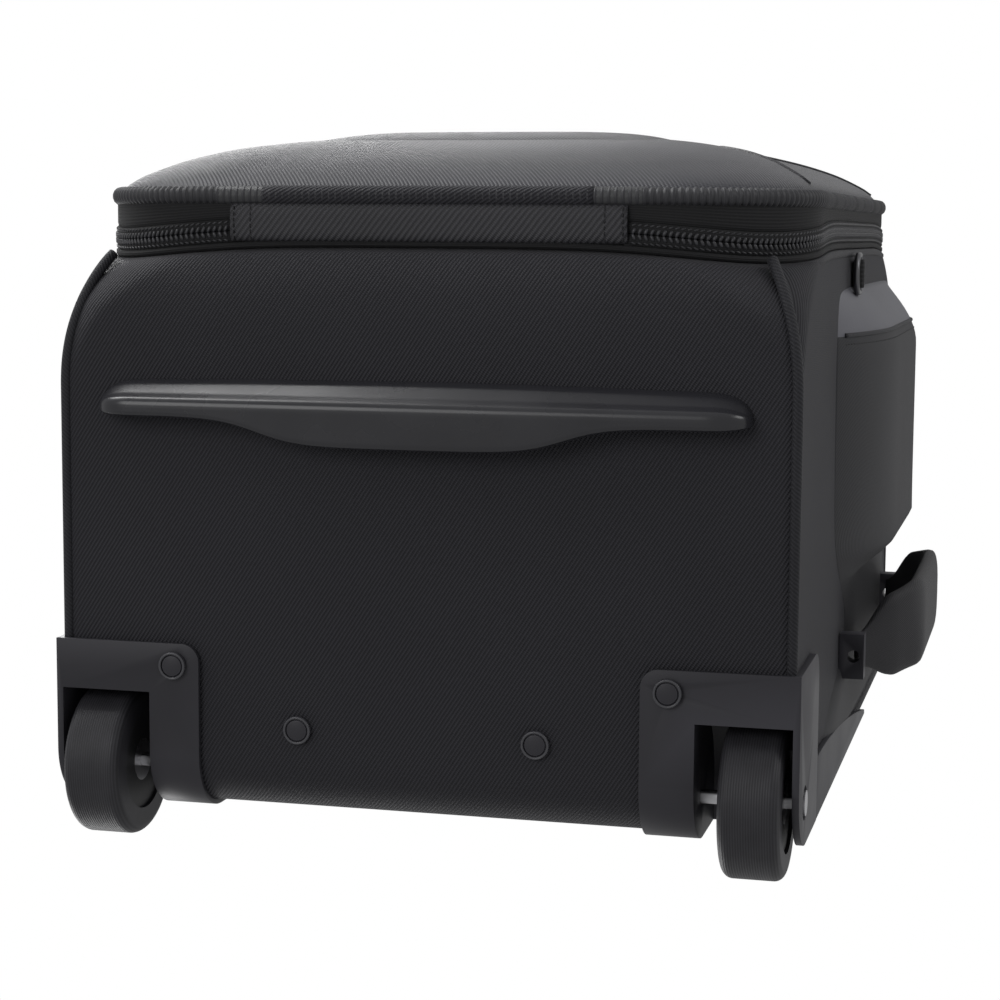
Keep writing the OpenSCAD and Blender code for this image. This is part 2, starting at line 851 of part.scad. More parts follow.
module side_ring_tab() {
    color(fabric) ring_place() difference() {
        union() {
            translate([0, -tab_w / 2, 0]) cube([2, tab_w, 30]);
            translate([3.2, tab_w / 2, 0]) rotate([90, 0, 0]) cylinder(r = 3.2, h = tab_w);
        }
        translate([3.2, tab_w, 0]) rotate([90, 0, 0]) cylinder(r = ring_wire + run, h = 2 * tab_w);
    }
}

module side_ring() {
    color(metal) ring_place() translate([3.2, 0, 0]) {
        translate([0, ring_r, 0]) rotate([90, 0, 0]) cylinder(r = ring_wire, h = 2 * ring_r);
        for (s = [-1, 1]) translate([0, s * ring_r, 0]) {
            sphere(ring_wire);
            translate([0, 0, -6]) cylinder(r = ring_wire, h = 6);
        }
        translate([0, 0, -6]) rotate([90, 180, 90]) rotate_extrude(angle = 180)
            translate([ring_r, 0]) circle(ring_wire);
    }
}

bottom_panel();
top_panel();
back_panel();
side_panel(true);  // left_side_panel
side_panel(false);  // right_side_panel
front_shoulder();
body_zip_tape();
body_zip_coil();
body_hinge_flap();
frame_wire();
side_pocket(true);  // left_side_pocket
side_pocket(false);  // right_side_pocket
wheel_housing(true);  // left_wheel_housing
wheel_housing(false);  // right_wheel_housing
corner_guard(true);  // left_corner_guard
corner_guard(false);  // right_corner_guard
axle_bolts();
axle_nuts();
foot_bar();
housing_rivets();
base_rivets();
trolley_base();
outer_tube(true);  // left_outer_tube
outer_tube(false);  // right_outer_tube
trolley_bezel();
trolley_lining();
side_handle_anchors();
top_handle_anchors();
tyre(true);  // left_tyre
hub(true);  // left_hub
bearings(true);  // left_bearings
tyre(false);  // right_tyre
hub(false);  // right_hub
bearings(false);  // right_bearings
mid_tube(true);  // left_mid_tube
mid_tube(false);  // right_mid_tube
inner_tube(true);  // left_inner_tube
inner_tube(false);  // right_inner_tube
grip();
release_button();
side_handle_strap();
side_handle_pad();
top_handle_strap();
top_handle_pad();
lid_panel();
lid_rim();
lid_binding();
lid_zip_coil();
lid_hinge_flap();
lid_pocket();
lid_pocket_zip();
zip_slider(true);  // left_zip_slider
zip_pull(true);  // left_zip_pull
zip_slider(false);  // right_zip_slider
zip_pull(false);  // right_zip_pull
pocket_zip_slider();
side_ring_tab();
side_ring();
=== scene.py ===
import json
from math import cos, pi, radians, sin

import bpy
import numpy as np
from mathutils import Matrix, Vector
from mathutils.bvhtree import BVHTree


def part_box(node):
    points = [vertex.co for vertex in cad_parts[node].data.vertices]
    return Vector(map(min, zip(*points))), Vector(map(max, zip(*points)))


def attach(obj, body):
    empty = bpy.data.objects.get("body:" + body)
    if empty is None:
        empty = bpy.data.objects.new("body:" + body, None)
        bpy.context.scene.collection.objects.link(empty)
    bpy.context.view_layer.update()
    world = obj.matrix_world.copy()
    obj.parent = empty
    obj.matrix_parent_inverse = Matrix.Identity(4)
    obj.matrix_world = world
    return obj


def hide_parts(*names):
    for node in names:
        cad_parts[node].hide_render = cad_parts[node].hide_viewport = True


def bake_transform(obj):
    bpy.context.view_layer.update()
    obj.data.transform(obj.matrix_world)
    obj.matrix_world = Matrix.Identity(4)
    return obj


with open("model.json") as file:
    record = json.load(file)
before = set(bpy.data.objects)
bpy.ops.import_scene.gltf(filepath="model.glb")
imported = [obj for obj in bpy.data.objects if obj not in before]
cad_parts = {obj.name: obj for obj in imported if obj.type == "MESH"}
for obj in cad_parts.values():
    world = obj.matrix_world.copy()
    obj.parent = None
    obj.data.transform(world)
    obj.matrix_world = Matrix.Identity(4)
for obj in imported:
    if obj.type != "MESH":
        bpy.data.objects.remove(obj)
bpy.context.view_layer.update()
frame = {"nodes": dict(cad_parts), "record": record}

scene = bpy.context.scene

# ---- Camera and studio ----
# The camera stands low, in front of the wheels and below the floor, and looks up along the case. The floor is
# a pale one-sided disc, and soft lamps stand in front, to the right, above and below.
across = Vector((0.9696, -0.0070, 0.2445))
ahead = Vector((-0.2421, 0.1161, 0.9633)).normalized()
across = (across - ahead * across.dot(ahead)).normalized()
upward = across.cross(ahead)
camera = bpy.data.objects.new("camera", bpy.data.cameras.new("camera"))
camera.data.lens = 82.3
camera.data.sensor_width = 36
camera.data.clip_start = 0.05
turn = Matrix((across, upward, -ahead)).transposed().to_4x4()
camera.matrix_world = Matrix.Translation((0.26980, -0.08255, -0.91246)) @ turn
scene.collection.objects.link(camera)
scene.camera = camera
scene.view_settings.view_transform = "Standard"


def node(nodes, kind, **inputs):
    """Adds a shader node and sets its inputs; an underscore stands for the blank in a socket's name."""
    made = nodes.new("ShaderNode" + kind)
    for socket, value in inputs.items():
        made.inputs[socket.replace("_", " ")].default_value = value
    return made


def sum_up(nodes, links, operation, first, second):
    """A Math node between two sockets, or a socket and a number; returns its result socket."""
    made = nodes.new("ShaderNodeMath")
    made.operation = operation
    links.new(first, made.inputs[0])
    if isinstance(second, bpy.types.NodeSocket):
        links.new(second, made.inputs[1])
    else:
        made.inputs[1].default_value = second
    return made.outputs[0]


def ranged(nodes, links, value, **ends):
    made = node(nodes, "MapRange", **ends)
    links.new(value, made.inputs["Value"])
    return made.outputs["Result"]


def studio_world(level, mirrored_share):
    """White to the camera, dim to the object, and between the two in its reflections."""
    world = bpy.data.worlds.new("studio")
    scene.world = world
    world.use_nodes = True
    nodes, links = world.node_tree.nodes, world.node_tree.links
    light = nodes["Background"]
    light.inputs["Color"].default_value = (1, 1, 1, 1)
    path = nodes.new("ShaderNodeLightPath").outputs
    seen = sum_up(nodes, links, "MAXIMUM", path["Is Camera Ray"], path["Is Transmission Ray"])
    mirrored = sum_up(nodes, links, "MULTIPLY", path["Is Glossy Ray"], mirrored_share)
    shown = sum_up(nodes, links, "MAXIMUM", seen, mirrored)
    links.new(ranged(nodes, links, shown, To_Min=level), light.inputs["Strength"])


studio_world(0.22, 0.3)


def lamp(name, place, aim, size, watts):
    light = bpy.data.lights.new(name, "AREA")
    light.shape = "DISK"
    light.size = size
    light.energy = watts
    stand = bpy.data.objects.new(name, light)
    stand.location = place
    stand.rotation_euler = (Vector(aim) - Vector(place)).to_track_quat("-Z", "Y").to_euler()
    stand.visible_camera = False
    scene.collection.objects.link(stand)


lamp("lamp_front", (-1.2, -1.7, 0.4), (0, 0, 0.2), 1.2, 24)
lamp("lamp_right", (1.7, -1.2, 0.2), (0, 0, 0.25), 1.0, 7)
lamp("lamp_low", (-0.8, -0.7, -1.6), (0, 0, 0.1), 1.0, 7)
lamp("lamp_top", (-0.9, -0.4, 2.0), (0, 0, 0.3), 1.2, 22)
lamp("lamp_back", (-1.4, 1.5, 1.1), (0, 0, 0.2), 1.2, 12)


def deselect():
    bpy.ops.object.select_all(action="DESELECT")


def activate(piece):
    deselect()
    piece.select_set(True)
    bpy.context.view_layer.objects.active = piece


deselect()


def build_floor():
    bpy.ops.mesh.primitive_circle_add(vertices=96, radius=2.2, fill_type="NGON", location=(0, 0, 0))
    floor = bpy.context.object
    floor.name = "floor"
    paint = bpy.data.materials.new("pale_floor")
    paint.use_nodes = True
    nodes, links = paint.node_tree.nodes, paint.node_tree.links
    shader = nodes["Principled BSDF"]
    shader.inputs["Base Color"].default_value = (0.82, 0.82, 0.81, 1)
    shader.inputs["Roughness"].default_value = 0.9
    shader.inputs["Specular IOR Level"].default_value = 0.1
    clear = nodes.new("ShaderNodeBsdfTransparent")
    side = nodes.new("ShaderNodeNewGeometry")
    place = nodes.new("ShaderNodeTexCoord")
    far = nodes.new("ShaderNodeVectorMath")
    far.operation = "LENGTH"
    links.new(place.outputs["Object"], far.inputs[0])
    fade = ranged(nodes, links, far.outputs["Value"], From_Min=0.45, From_Max=1.5)
    fade.node.interpolation_type = "SMOOTHSTEP"
    gone = sum_up(nodes, links, "MAXIMUM", fade, side.outputs["Backfacing"])
    mix = nodes.new("ShaderNodeMixShader")
    links.new(gone, mix.inputs["Fac"])
    links.new(shader.outputs["BSDF"], mix.inputs[1])
    links.new(clear.outputs["BSDF"], mix.inputs[2])
    links.new(mix.outputs["Shader"], nodes["Material Output"].inputs["Surface"])
    floor.data.materials.append(paint)
    floor.visible_diffuse = floor.visible_glossy = floor.visible_transmission = floor.visible_shadow = False


build_floor()

# ---- Fabric body ----
# The body is sewn from four panels of ballistic twill over foam board: bottom, two sides, top and back. They
# draw in at the front to the round-cornered mouth, and piping closes the seams along the corners.
side_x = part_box("right_side_panel")[1].x
base_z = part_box("bottom_panel")[0].z
top_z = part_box("top_panel")[1].z
mid_z = (base_z + top_z) / 2
back_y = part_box("back_panel")[1].y
square_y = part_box("bottom_panel")[0].y
mouth_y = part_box("front_shoulder")[0].y
mouth_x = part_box("body_zip_tape")[1].x
mouth_z0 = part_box("body_zip_tape")[0].z
mouth_r = 0.060
corner_r = 0.008
edge_r = 0.025
wall = 0.004
panel_colour = (0.005, 0.005, 0.006)
rib_colour = (0.072, 0.071, 0.084)
lining_colours = (0.055, 0.057, 0.062), (0.075, 0.078, 0.085)
rib_pitch = 0.0015


def new_material(name, roughness, specular=0.5, **more):
    paint = bpy.data.materials.new(name)
    paint.use_nodes = True
    shader = paint.node_tree.nodes["Principled BSDF"]
    shader.inputs["Roughness"].default_value = roughness
    shader.inputs["Specular IOR Level"].default_value = specular
    for socket, value in more.items():
        shader.inputs[socket.replace("_", " ")].default_value = value
    return paint, paint.node_tree.nodes, paint.node_tree.links, shader


def mixed(nodes, links, kind, share, first, second):
    """A Mix node whose inputs are sockets or plain values; returns its result socket."""
    mix = nodes.new("ShaderNodeMix")
    mix.data_type = kind
    ends = {"RGBA": (6, 7, 2), "FLOAT": (2, 3, 0)}[kind]
    for socket, value in ((mix.inputs[0], share), (mix.inputs[ends[0]], first),
                          (mix.inputs[ends[1]], second)):
        if isinstance(value, bpy.types.NodeSocket):
            links.new(value, socket)
        else:
            socket.default_value = (*value, 1) if isinstance(value, tuple) else value
    return mix.outputs[ends[2]]


def noise(nodes, links, place, scale, detail=2):
    made = node(nodes, "TexNoise", Scale=scale, Detail=detail)
    links.new(place.outputs["Object"], made.inputs["Vector"])
    return made.outputs["Fac"]


def bumped(nodes, links, shader, height, strength, distance):
    bump = node(nodes, "Bump", Strength=strength, Distance=distance)
    links.new(height, bump.inputs["Height"])
    links.new(bump.outputs["Normal"], shader.inputs["Normal"])


def woven(name, dark, light, pitch, lean, source="UV", turned=(0, 0), depth=0.5, roughness=0.62,
          specular=0.25, sheen=0.06, cross=0.6, patchy=0.25):
    """Twill: slanting ribs of yarn, finer yarns across them, and slow changes of tone over the panel."""
    paint, nodes, links, shader = new_material(name, roughness, specular, Sheen_Weight=sheen,
                                               Sheen_Roughness=0.45)
    place = nodes.new("ShaderNodeTexCoord")
    waves = []
    for angle, step, wobble in ((lean, pitch, 0.5), (lean + 90, pitch * cross, 0.3)):
        mapping = node(nodes, "Mapping", Rotation=(turned[0], turned[1], radians(angle)))
        links.new(place.outputs[source], mapping.inputs["Vector"])
        wave = node(nodes, "TexWave", Scale=pi / 10 / step, Distortion=wobble, Detail=1)
        links.new(mapping.outputs["Vector"], wave.inputs["Vector"])
        waves.append(wave.outputs["Fac"])
    yarn = noise(nodes, links, place, 900, 2)
    slow = noise(nodes, links, place, 11, 3)
    height = mixed(nodes, links, "FLOAT", 0.28, waves[0], waves[1])
    tone = mixed(nodes, links, "FLOAT", 0.3, height, yarn)
    colour = mixed(nodes, links, "RGBA", tone, dark, light)
    shade = ranged(nodes, links, slow, From_Min=0.3, From_Max=0.7, To_Min=1 - patchy, To_Max=1)
    faded = mixed(nodes, links, "RGBA", 1.0, colour, shade)
    faded.node.blend_type = "MULTIPLY"
    links.new(faded, shader.inputs["Base Color"])
    bumped(nodes, links, shader, height, depth, 0.0004)
    return paint


twill = woven("body_twill", panel_colour, rib_colour, rib_pitch, 33, depth=1.0, patchy=0.15)
lining = woven("lining_cloth", *lining_colours, 0.0009, 45, source="Object", roughness=0.75, specular=0.2,
               depth=0.25)


def read_points(piece):
    flat = np.empty(len(piece.data.vertices) * 3)
    piece.data.vertices.foreach_get("co", flat)
    return flat.reshape(-1, 3)


def write_points(piece, points):
    piece.data.vertices.foreach_set("co", np.ascontiguousarray(points).ravel())
    piece.data.update()


def shaped_grid(name, columns, rows, shape, *paints):
    """A grid bent to shape(u, v), whose UV map is the cloth's own metres, measured from its middle column."""
    deselect()
    bpy.ops.mesh.primitive_grid_add(x_subdivisions=columns, y_subdivisions=rows, size=2)
    piece = bpy.context.object
    piece.name = piece.data.name = name
    flat = read_points(piece)
    u, v = (flat[:, 0] + 1) / 2, (flat[:, 1] + 1) / 2
    points = np.stack([np.broadcast_to(c, u.shape) for c in shape(u, v)], axis=1)
    write_points(piece, points)
    order = np.lexsort((np.round(u, 5), np.round(v, 5)))
    lattice = points[order].reshape(rows + 1, columns + 1, 3)
    along_u = np.zeros(lattice.shape[:2])
    along_u[:, 1:] = np.cumsum(np.linalg.norm(np.diff(lattice, axis=1), axis=2), axis=1)
    along_u -= along_u[:, [columns // 2]]
    along_v = np.zeros(lattice.shape[:2])
    along_v[1:] = np.cumsum(np.linalg.norm(np.diff(lattice, axis=0), axis=2), axis=0)
    along_v[:] = along_v[:, [columns // 2]]
    chart = np.empty((len(points), 2))
    chart[order] = np.stack([along_u.ravel(), along_v.ravel()], axis=1)
    corners = np.empty(len(piece.data.loops), dtype=np.int64)
    piece.data.loops.foreach_get("vertex_index", corners)
    piece.data.uv_layers.active.data.foreach_set("uv", chart[corners].ravel())
    for paint in paints:
        piece.data.materials.append(paint)
    bpy.ops.object.shade_smooth()
    return piece


def finish_mesh(piece, kind, **settings):
    """Adds one modifier, sets it up and applies it."""
    activate(piece)
    step = piece.modifiers.new(kind.lower(), kind)
    for key, value in settings.items():
        setattr(step, key, value)
    bpy.ops.object.modifier_apply(modifier=step.name)
    return piece


def thicken(piece, thickness, inner=0, offset=-1):
    return finish_mesh(piece, "SOLIDIFY", thickness=thickness, offset=offset, material_offset=inner,
                       material_offset_rim=0, use_even_offset=False)


def cut_faces(piece, inside):
    """Deletes the faces whose middle lies inside, given as a test on arrays x, y, z."""
    activate(piece)
    middle = np.empty(len(piece.data.polygons) * 3)
    piece.data.polygons.foreach_get("center", middle)
    x, y, z = middle.reshape(-1, 3).T
    hit = inside(x, y, z)
    bpy.ops.object.mode_set(mode="EDIT")
    bpy.ops.mesh.select_all(action="DESELECT")
    bpy.ops.object.mode_set(mode="OBJECT")
    piece.data.polygons.foreach_set("select", hit)
    bpy.ops.object.mode_set(mode="EDIT")
    bpy.context.tool_settings.mesh_select_mode = (False, False, True)
    bpy.ops.mesh.delete(type="FACE")
    bpy.ops.object.mode_set(mode="OBJECT")


def draw_in(y):
    """How far the shoulder draws in at y: 1 at the mouth, 0 where the square section starts."""
    return np.clip((square_y - y) / (square_y - mouth_y), 0, 1)


def section_at(y):
    """Half width, half height and corner radius of the body at y."""
    pull = 1 - (1 - draw_in(y) ** 2.6) ** (1 / 2.6)
    half_w = side_x - (side_x - mouth_x) * pull
    half_h = (top_z - base_z) / 2 - (mouth_z0 - base_z) * pull
    return half_w, half_h, corner_r + (mouth_r - corner_r) * draw_in(y) ** 2.2


corner_share = 0.2


def round_ends(a, half, r):
    """Along a panel, from the middle of one corner to that of the next: place, and drop at the corners."""
    t = np.abs(a)
    bend = np.clip((t - 1 + corner_share) / corner_share, 0, 1) * pi / 4
    reach = (half - r) * np.minimum(t, 1 - corner_share) / (1 - corner_share) + r * np.sin(bend)
    return np.sign(a) * reach, r * (1 - np.cos(bend))


def soft(x, y, size):
    """The slow unevenness of cloth over foam."""
    return size * (np.sin(x * 23 + 1.3 * np.sin(y * 17)) * np.sin(y * 19 + 0.7)
                   + 0.5 * np.sin(x * 51 - y * 37))


def band(v):
    """Side view of the bottom or top band: runs back from the mouth and turns round the back edge."""
    flat_share = 0.88
    y = mouth_y + (back_y - edge_r - mouth_y) * np.clip(v / flat_share, 0, 1)
    turned = np.clip((v - flat_share) / (1 - flat_share), 0, 1) * pi / 2
    half_w, half_h, r = section_at(y)
    out = half_h - edge_r * (1 - np.cos(turned))
    return y + edge_r * np.sin(turned), out, turned, half_w, r


def band_shape(upper):
    def shape(u, v):
        sign = 1 if upper else -1
        a = (2 * u - 1) * sign
        y, out, turned, half_w, r = band(v)
        x, drop = round_ends(a, half_w, r)
        flatness = np.clip(1 - np.abs(a) ** 4, 0, 1) * np.clip(v * 6, 0, 1) * np.clip((0.86 - v) * 6, 0, 1)
        drop = drop + flatness * (soft(x, y, 0.0005) + 0.0006)
        return x, y - drop * np.sin(turned), mid_z + sign * (out - drop * np.cos(turned))
    return shape


def well_under(x, y, z):
    return (np.abs(x) > side_x - 0.058) & (y > back_y - 0.067) & (z < base_z + 0.060)


bottom = shaped_grid("bottom_skin", 96, 120, band_shape(False), twill, lining)
cut_faces(bottom, well_under)
thicken(bottom, wall, inner=1)
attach(bottom, "case")
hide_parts("bottom_panel", "front_shoulder")

top = shaped_grid("top_skin", 96, 120, band_shape(True), twill, lining)
bezel_low, bezel_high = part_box("trolley_bezel")
cut_faces(top, lambda x, y, z: (x > bezel_low.x + 0.003) & (x < bezel_high.x - 0.003)
          & (y > bezel_low.y + 0.003) & (y < bezel_high.y - 0.003))
thicken(top, wall, inner=1)
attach(top, "case")
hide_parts("top_panel", "front_shoulder")


def back_shape(u, v):
    a = 1 - 2 * u
    x, drop = round_ends(a, side_x, corner_r)
    z = base_z + edge_r + (top_z - base_z - 2 * edge_r) * v
    puffed = np.clip(1 - np.abs(a) ** 4, 0, 1) * np.sin(np.pi * v) ** 0.5
    return x, back_y - drop - puffed * (soft(x, z, 0.0005) + 0.0006), z


back = shaped_grid("back_skin", 96, 110, back_shape, twill, lining)
cut_faces(back, well_under)
thicken(back, wall, inner=1)
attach(back, "case")
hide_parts("back_panel")


def side_shape(right):
    def shape(u, v):
        edge = corner_r * (1 - cos(pi / 4))
        end_y = back_y - edge
        y = mouth_y + (end_y - mouth_y) * np.where(v < 0.9, v / 0.9 * 0.93, 0.93 + (v - 0.9) * 0.7)
        a = 1 - 2 * u if right else 2 * u - 1
        half_w, half_h, r = section_at(y)
        z, drop = round_ends(a, half_h, r)
        # Behind the square part the outline follows the rounded back edges
        past = np.clip(y - back_y + edge_r, 0, None)
        inner_r = edge_r - edge
        limit = half_h - edge_r + np.sqrt(np.clip(inner_r**2 - past**2, 0, None))
        z = np.where(past > 0, z / (half_h - edge) * limit, z)
        core = np.clip(np.abs(z) - (half_h - edge_r), 0, None)
        gap = np.where(core > 0, edge_r - np.sqrt(core**2 + past**2), back_y - y)
        gap = np.clip(gap, edge, corner_r)
        rounded = corner_r - np.sqrt(np.clip(corner_r**2 - (corner_r - gap) ** 2, 0, None))
        drop = np.where(past > 0, np.maximum(rounded, 0), drop)
        puffed = np.clip(1 - a**4, 0, 1) * np.clip(v * 5, 0, 1) * np.clip((0.9 - v) * 5, 0, 1)
        x = half_w - drop - puffed * (soft(z, y, 0.0005) + 0.0006)
        return (x if right else -x), y, mid_z + z
    return shape


sides = []
for name, right in (("right_side", True), ("left_side", False)):
    side = shaped_grid(name + "_skin", 100, 110, side_shape(right), twill, lining)
    cut_faces(side, well_under)
    thicken(side, wall, inner=1)
    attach(side, "case")
    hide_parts(name + "_panel", "front_shoulder")
    sides.append(side)

# ---- Piping of the body ----
# Twill bias tape wrapped round a cord is caught in the corner seams. It runs from the zip back to the wheel
# housings at the bottom, and up over the back edges to the top.
piping_r = 0.0024
piping_cloth = woven("piping_twill", (0.012, 0.012, 0.014), (0.060, 0.060, 0.070), 0.0014, 52, depth=0.6,
                     roughness=0.55)


def sweep(name, path, section, out, *paints, ring=False, caps=True):
    """Carries a closed outline of (across, out) points along a path; out is a unit vector at each point."""
    path, out = np.asarray(path, float), np.broadcast_to(np.asarray(out, float), np.shape(path))
    if ring:
        ahead = np.roll(path, -1, axis=0) - np.roll(path, 1, axis=0)
    else:
        ahead = np.gradient(path, axis=0)
    ahead /= np.linalg.norm(ahead, axis=1)[:, None]
    side = np.cross(ahead, out)
    side /= np.linalg.norm(side, axis=1)[:, None]
    up = np.cross(side, ahead)
    section = np.asarray(section, float)
    if section.ndim == 2:
        section = np.broadcast_to(section, (len(path), *section.shape))
    rows, columns = len(path) - (0 if ring else 1), section.shape[1]

    def shape(u, v):
        i = np.rint(v * rows).astype(int) % len(path)
        j = np.rint(u * columns).astype(int) % columns
        spot = path[i] + side[i] * section[i, j, :1] + up[i] * section[i, j, 1:]
        return spot[:, 0], spot[:, 1], spot[:, 2]

    piece = shaped_grid(name, columns, rows, shape, *paints)
    bpy.ops.object.mode_set(mode="EDIT")
    bpy.ops.mesh.select_all(action="SELECT")
    bpy.ops.mesh.remove_doubles(threshold=1e-6)
    if caps and not ring:
        bpy.ops.mesh.select_all(action="DESELECT")
        bpy.ops.mesh.select_mode(type="EDGE")
        bpy.ops.mesh.select_non_manifold()
        bpy.ops.mesh.edge_face_add()
        bpy.ops.mesh.select_all(action="SELECT")
        bpy.ops.mesh.fill_holes(sides=0)
    bpy.ops.mesh.select_all(action="SELECT")
    bpy.ops.mesh.normals_make_consistent(inside=False)
    bpy.ops.object.mode_set(mode="OBJECT")
    return piece


def round_section(r, sides=12, flat=1.0):
    angle = np.arange(sides) * 2 * pi / sides
    return np.stack([r * np.cos(angle), r * flat * np.sin(angle)], axis=1)


def join(name, parts):
    activate(parts[0])
    for part in parts[1:]:
        part.select_set(True)
    if len(parts) > 1:
        bpy.ops.object.join()
    parts[0].name = parts[0].data.name = name
    return parts[0]


def corner_path(right, upper, end_v=1.0):
    v = np.linspace(0.015, end_v, 80)
    a = np.full_like(v, 1.0)
    y, out, turned, half_w, r = band(v)
    x, drop = round_ends(a, half_w, r)
    lift = 0.0004
    sx, sz = (1 if right else -1), (1 if upper else -1)
    away = np.stack([np.full_like(v, sx * 0.7), 0.7 * np.sin(turned), sz * 0.7 * np.cos(turned)], axis=1)
    spot = np.stack([sx * x, y - drop * np.sin(turned), mid_z + sz * (out - drop * np.cos(turned))], axis=1)
    return spot + away * lift, away / np.linalg.norm(away, axis=1)[:, None]


def build_piping():
    parts = []
    for right in (True, False):
        low, low_out = corner_path(right, False, 0.71)
        parts.append(sweep("welt", low, round_section(piping_r), low_out, piping_cloth))
        high, high_out = corner_path(right, True)
        sx = 1 if right else -1
        z = np.linspace(top_z - edge_r - 0.004, base_z + 0.070, 60)
        edge = corner_r * (1 - cos(pi / 4))
        down = np.stack([np.full_like(z, sx * (side_x - edge + 0.00063)),
                         np.full_like(z, back_y - edge + 0.00063), z],
                        axis=1)
        down_out = np.broadcast_to([sx * 0.7071, 0.7071, 0], down.shape)
        parts.append(sweep("welt", np.vstack([high, down]), round_section(piping_r),
                           np.vstack([high_out, down_out]), piping_cloth))
    return join("corner_piping", parts)


piping = build_piping()
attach(piping, "case")

# ---- Zip band of the body and the lid ----
# A spiral zip is sewn between two tapes round the mouth. Each half shows its row of nylon coils, the row of
# stitches that holds them, and plain tape; the body half stays on the body and the other half opens with the
# lid.
tape_low, tape_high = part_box("body_zip_tape")
body_coil = (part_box("body_zip_coil")[0].y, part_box("body_zip_coil")[1].y)
lid_coil = (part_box("lid_zip_coil")[0].y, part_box("lid_zip_coil")[1].y)
flap_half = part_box("lid_hinge_flap")[1].x
coil_pitch = 0.0026
tape_cloth = woven("zip_tape_cloth", (0.012, 0.012, 0.013), (0.030, 0.030, 0.032), 0.0009, 0, depth=0.5,
                   roughness=0.7, specular=0.25)
coil_nylon, coil_nodes, coil_links, coil_shader = new_material("coil_nylon", 0.35, 0.5)
coil_grain = noise(coil_nodes, coil_links, coil_nodes.new("ShaderNodeTexCoord"), 400)
coil_links.new(mixed(coil_nodes, coil_links, "RGBA", coil_grain, (0.016, 0.016, 0.018),
                     (0.075, 0.075, 0.085)),
               coil_shader.inputs["Base Color"])


def mouth_path(grow, start, count, whole=False):
    """Points and outward directions along the mouth's outline, grown by grow, from one end of the flap to the other.

    start is the distance from the middle of the bottom; whole runs once round instead."""
    half_w, half_h = mouth_x + grow, (top_z - base_z) / 2 - (mouth_z0 - base_z) + grow
    r = mouth_r + grow
    fine = []
    for corner, (cx, cz) in enumerate(((half_w - r, -half_h + r), (half_w - r, half_h - r),
                                       (-half_w + r, half_h - r), (-half_w + r, -half_h + r))):
        for step in np.linspace(-90, 0, 25) + 90 * corner:
            fine.append((cx + r * cos(radians(step)), cz + r * sin(radians(step)), radians(step)))
    fine = [(0.0, -half_h, radians(-90))] + fine + [(0.0, -half_h, radians(270))]
    fine = np.array(fine)
    length = np.concatenate([[0], np.cumsum(np.hypot(*np.diff(fine[:, :2], axis=0).T))])
    if whole:
        at = np.arange(count) * length[-1] / count
    else:
        at = np.linspace(start, length[-1] - start, count)
    x, z, angle = (np.interp(at, length, fine[:, k]) for k in range(3))
    out = np.stack([np.cos(angle), np.zeros_like(angle), np.sin(angle)], axis=1)
    return np.stack([x, np.zeros_like(x), mid_z + z], axis=1), out


def mouth_length(grow):
    half_w, half_h = mouth_x + grow, (top_z - base_z) / 2 - (mouth_z0 - base_z) + grow
    return 4 * (half_w + half_h) - 8 * (mouth_r + grow) + 2 * pi * (mouth_r + grow)


def droop(piece):
    """Lets the zip band sag a little at the four corners, where the tape is eased round them."""
    points = read_points(piece)
    x, y, z = points.T
    corner_x, corner_z = mouth_x - 0.018, (top_z - base_z) / 2 - (mouth_z0 - base_z) - 0.018
    away = np.hypot(np.abs(x) - corner_x, np.abs(z - mid_z) - corner_z)
    share = np.clip((y + 0.100) / 0.009, 0, 1) * np.clip((-0.050 - y) / 0.026, 0, 1)
    points[:, 1] += 0.0055 * np.exp(-((away / 0.050) ** 2)) * share
    write_points(piece, points)
    return piece


for skin in (bottom, top, *sides):
    droop(skin)


def face_outward(piece):
    activate(piece)
    bpy.ops.object.mode_set(mode="EDIT")
    bpy.ops.mesh.select_all(action="SELECT")
    bpy.ops.mesh.normals_make_consistent(inside=False)
    bpy.ops.object.mode_set(mode="OBJECT")


def row_of(name, pattern, path, out, sideways, *paints):
    """Copies a small modelled shape to each point of a path. Its X runs along, Y across and Z out."""
    count = len(path)
    ahead = np.gradient(path, axis=0)
    ahead /= np.linalg.norm(ahead, axis=1)[:, None]
    side = np.cross(out, ahead)
    shape = read_points(pattern)
    faces = [tuple(p.vertices) for p in pattern.data.polygons]
    n = len(shape)
    spots = (path[:, None] + shape[None, :, :1] * ahead[:, None]
             + (shape[None, :, 1:2] + sideways) * side[:, None]
             + shape[None, :, 2:] * out[:, None]).reshape(-1, 3)
    mesh = bpy.data.meshes.new(name)
    mesh.from_pydata(spots, [], [tuple(i + n * k for i in face) for k in range(count) for face in faces])
    piece = bpy.data.objects.new(name, mesh)
    scene.collection.objects.link(piece)
    for paint in paints:
        mesh.materials.append(paint)
    face_outward(piece)
    bpy.ops.object.shade_smooth()
    return piece


def bead(length, width, height, slant=0.0, segments=6):
    """A small rounded bar, for one coil or one stitch."""
    deselect()
    bpy.ops.mesh.primitive_uv_sphere_add(segments=segments, ring_count=5, radius=1, rotation=(0, pi / 2, 0))
    piece = bpy.context.object
    bpy.ops.object.transform_apply(rotation=True)
    points = read_points(piece)
    points[:, 0] = np.sign(points[:, 0]) * np.abs(points[:, 0]) ** 0.7
    points *= (length / 2, width / 2, height / 2)
    turned = points.copy()
    turned[:, 0] = points[:, 0] * cos(slant) - points[:, 1] * sin(slant)
    turned[:, 1] = points[:, 0] * sin(slant) + points[:, 1] * cos(slant)
    write_points(piece, turned)
    return piece


